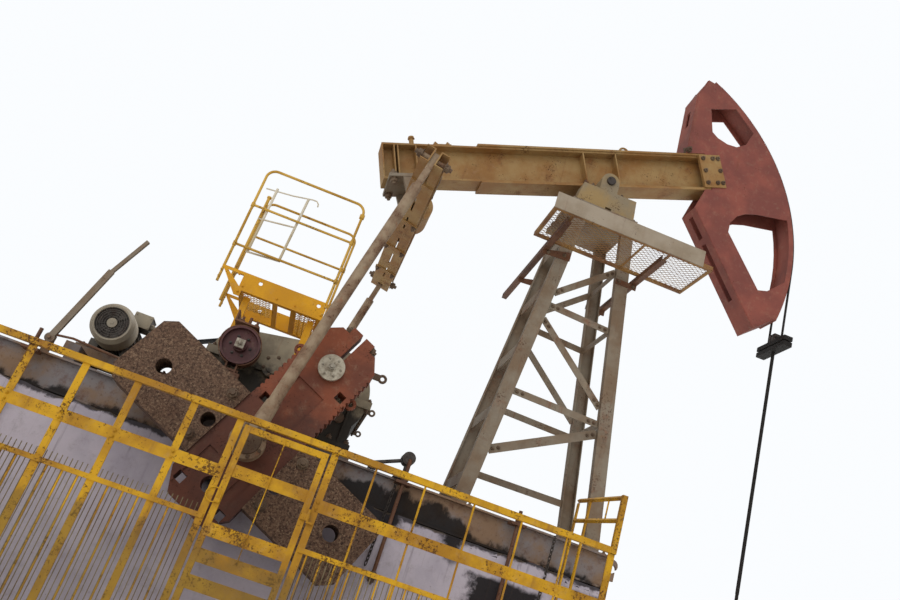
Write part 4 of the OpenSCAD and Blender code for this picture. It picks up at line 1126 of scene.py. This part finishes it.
# %% Rod clamp
ROD = middle("polished_rod")
CLAMP_FOOT = 4.446
bm = bmesh.new()
for near, far in ((-0.05, -0.002), (0.002, 0.05)):
    add_block(bm, (ROD.x - 0.042, near, CLAMP_FOOT), (ROD.x + 0.042, far, CLAMP_FOOT + 0.075),
              edge=0.004)
for x in (-0.027, 0.027):
    for s in (-1, 1):
        add_nut(bm, (ROD.x + x, s * 0.05, CLAMP_FOOT + 0.038), away(s), 0.024)
piece("rod_clamp", bm, "rod_set", dark_metal)

# %% [markdown]
# ## Foundation
# Years of frost have broken the concrete's edges, most of all at its front end. The solid
# block is replaced by one with a fine grid on it: vertices near the top edges are pushed
# down and in by noise, never outwards, so that the block keeps its size.

# %% A block with a fine grid
GRID = (0.05, 0.04, 0.05)
RIM_WIDTH, RIM_DEPTH, ON_FACE = 0.05, 0.12, 1e-4
BITE_DOWN, BITE_IN, GRAIN = 0.075, 0.03, 0.004
low, high = (Vector(v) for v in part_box("foundation"))
bm = bmesh.new()
add_block(bm, low, high)
for axis, pitch in enumerate(GRID):
    count = int((high[axis] - low[axis]) / pitch)
    normal = Vector([1.0 if i == axis else 0.0 for i in range(3)])
    for i in range(1, count):
        cut = low + (high - low) * (i / count)
        geom = bm.verts[:] + bm.edges[:] + bm.faces[:]
        bmesh.ops.bisect_plane(bm, geom=geom, dist=1e-6, plane_co=cut, plane_no=normal)

# %% Bitten edges
for v in bm.verts:
    p = v.co.copy()
    side = min(p.y - low.y, high.y - p.y)
    end = min(p.x - low.x, high.x - p.x)
    front = max(0.0, min(1.0, (p.x - 0.2) / 0.5))
    depth = RIM_DEPTH + 0.3 * front
    rim = max(0.0, 1.0 - min(side, end) / RIM_WIDTH) * max(0.0, 1.0 - (high.z - p.z) / depth)
    broken = noise.noise(p * 6.0) + 0.6 * noise.noise(p * 17.0) + 0.15 + 0.5 * front
    bite = rim * max(0.0, broken)
    grain = GRAIN * (0.5 + 0.5 * noise.noise(p * 11.0))
    if high.z - p.z < ON_FACE:
        v.co.z -= bite * BITE_DOWN
    if side < ON_FACE:
        v.co.y += (BITE_IN * bite + grain) * (1 if p.y < 0 else -1)
    if end < ON_FACE:
        inward = 1 if p.x - low.x < high.x - p.x else -1
        v.co.x += ((BITE_IN + 0.05 * front) * bite + grain) * inward
made = piece("broken_foundation", bm, "base", concrete)
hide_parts("foundation")

# %% [markdown]
# ## Floor and light
# A plain pale floor, a soft key light from behind and to the right, where the sun stood,
# and a broad soft fill from the camera's side. The world is white to the camera alone,
# so that the background is pale and the metal isn't washed out.

# %% Floor
bm = bmesh.new()
bmesh.ops.create_grid(bm, x_segments=1, y_segments=1, size=60.0)
f = Finish("floor_pale")
f.add_output(f.add("ShaderNodeBsdfDiffuse", {}, {"Color": colour(226, 226, 224)}))
as_object("floor", bm, f.material)

# %% Lights
def make_sun(name, azimuth, elevation, strength, softness):
    data = bpy.data.lights.new(name, "SUN")
    data.energy = strength
    data.angle = math.radians(softness)
    lamp = bpy.data.objects.new(name, data)
    a, e = math.radians(azimuth), math.radians(elevation)
    toward = Vector((math.cos(a) * math.cos(e), math.sin(a) * math.cos(e), math.sin(e)))
    lamp.rotation_euler = toward.to_track_quat("Z", "Y").to_euler()
    bpy.context.scene.collection.objects.link(lamp)


make_sun("key", 55.0, 48.0, 2.2, 20.0)
make_sun("fill", -115.0, 25.0, 1.1, 60.0)

# %% World
WORLD_LEVEL = 0.55
world = bpy.data.worlds.new("studio")
world.use_nodes = True
tree = world.node_tree
background = tree.nodes["Background"]
path = tree.nodes.new("ShaderNodeLightPath")
mix = tree.nodes.new("ShaderNodeMix")
mix.data_type = "FLOAT"
tree.links.new(path.outputs["Is Camera Ray"], mix.inputs["Factor"])
mix.inputs[2].default_value = WORLD_LEVEL
mix.inputs[3].default_value = 1.0
tree.links.new(mix.outputs[0], background.inputs["Strength"])
background.inputs["Color"].default_value = (0.96, 0.98, 1.0, 1.0)
bpy.context.scene.world = world
bpy.context.scene.view_settings.view_transform = "Standard"

# %% [markdown]
# ## Close
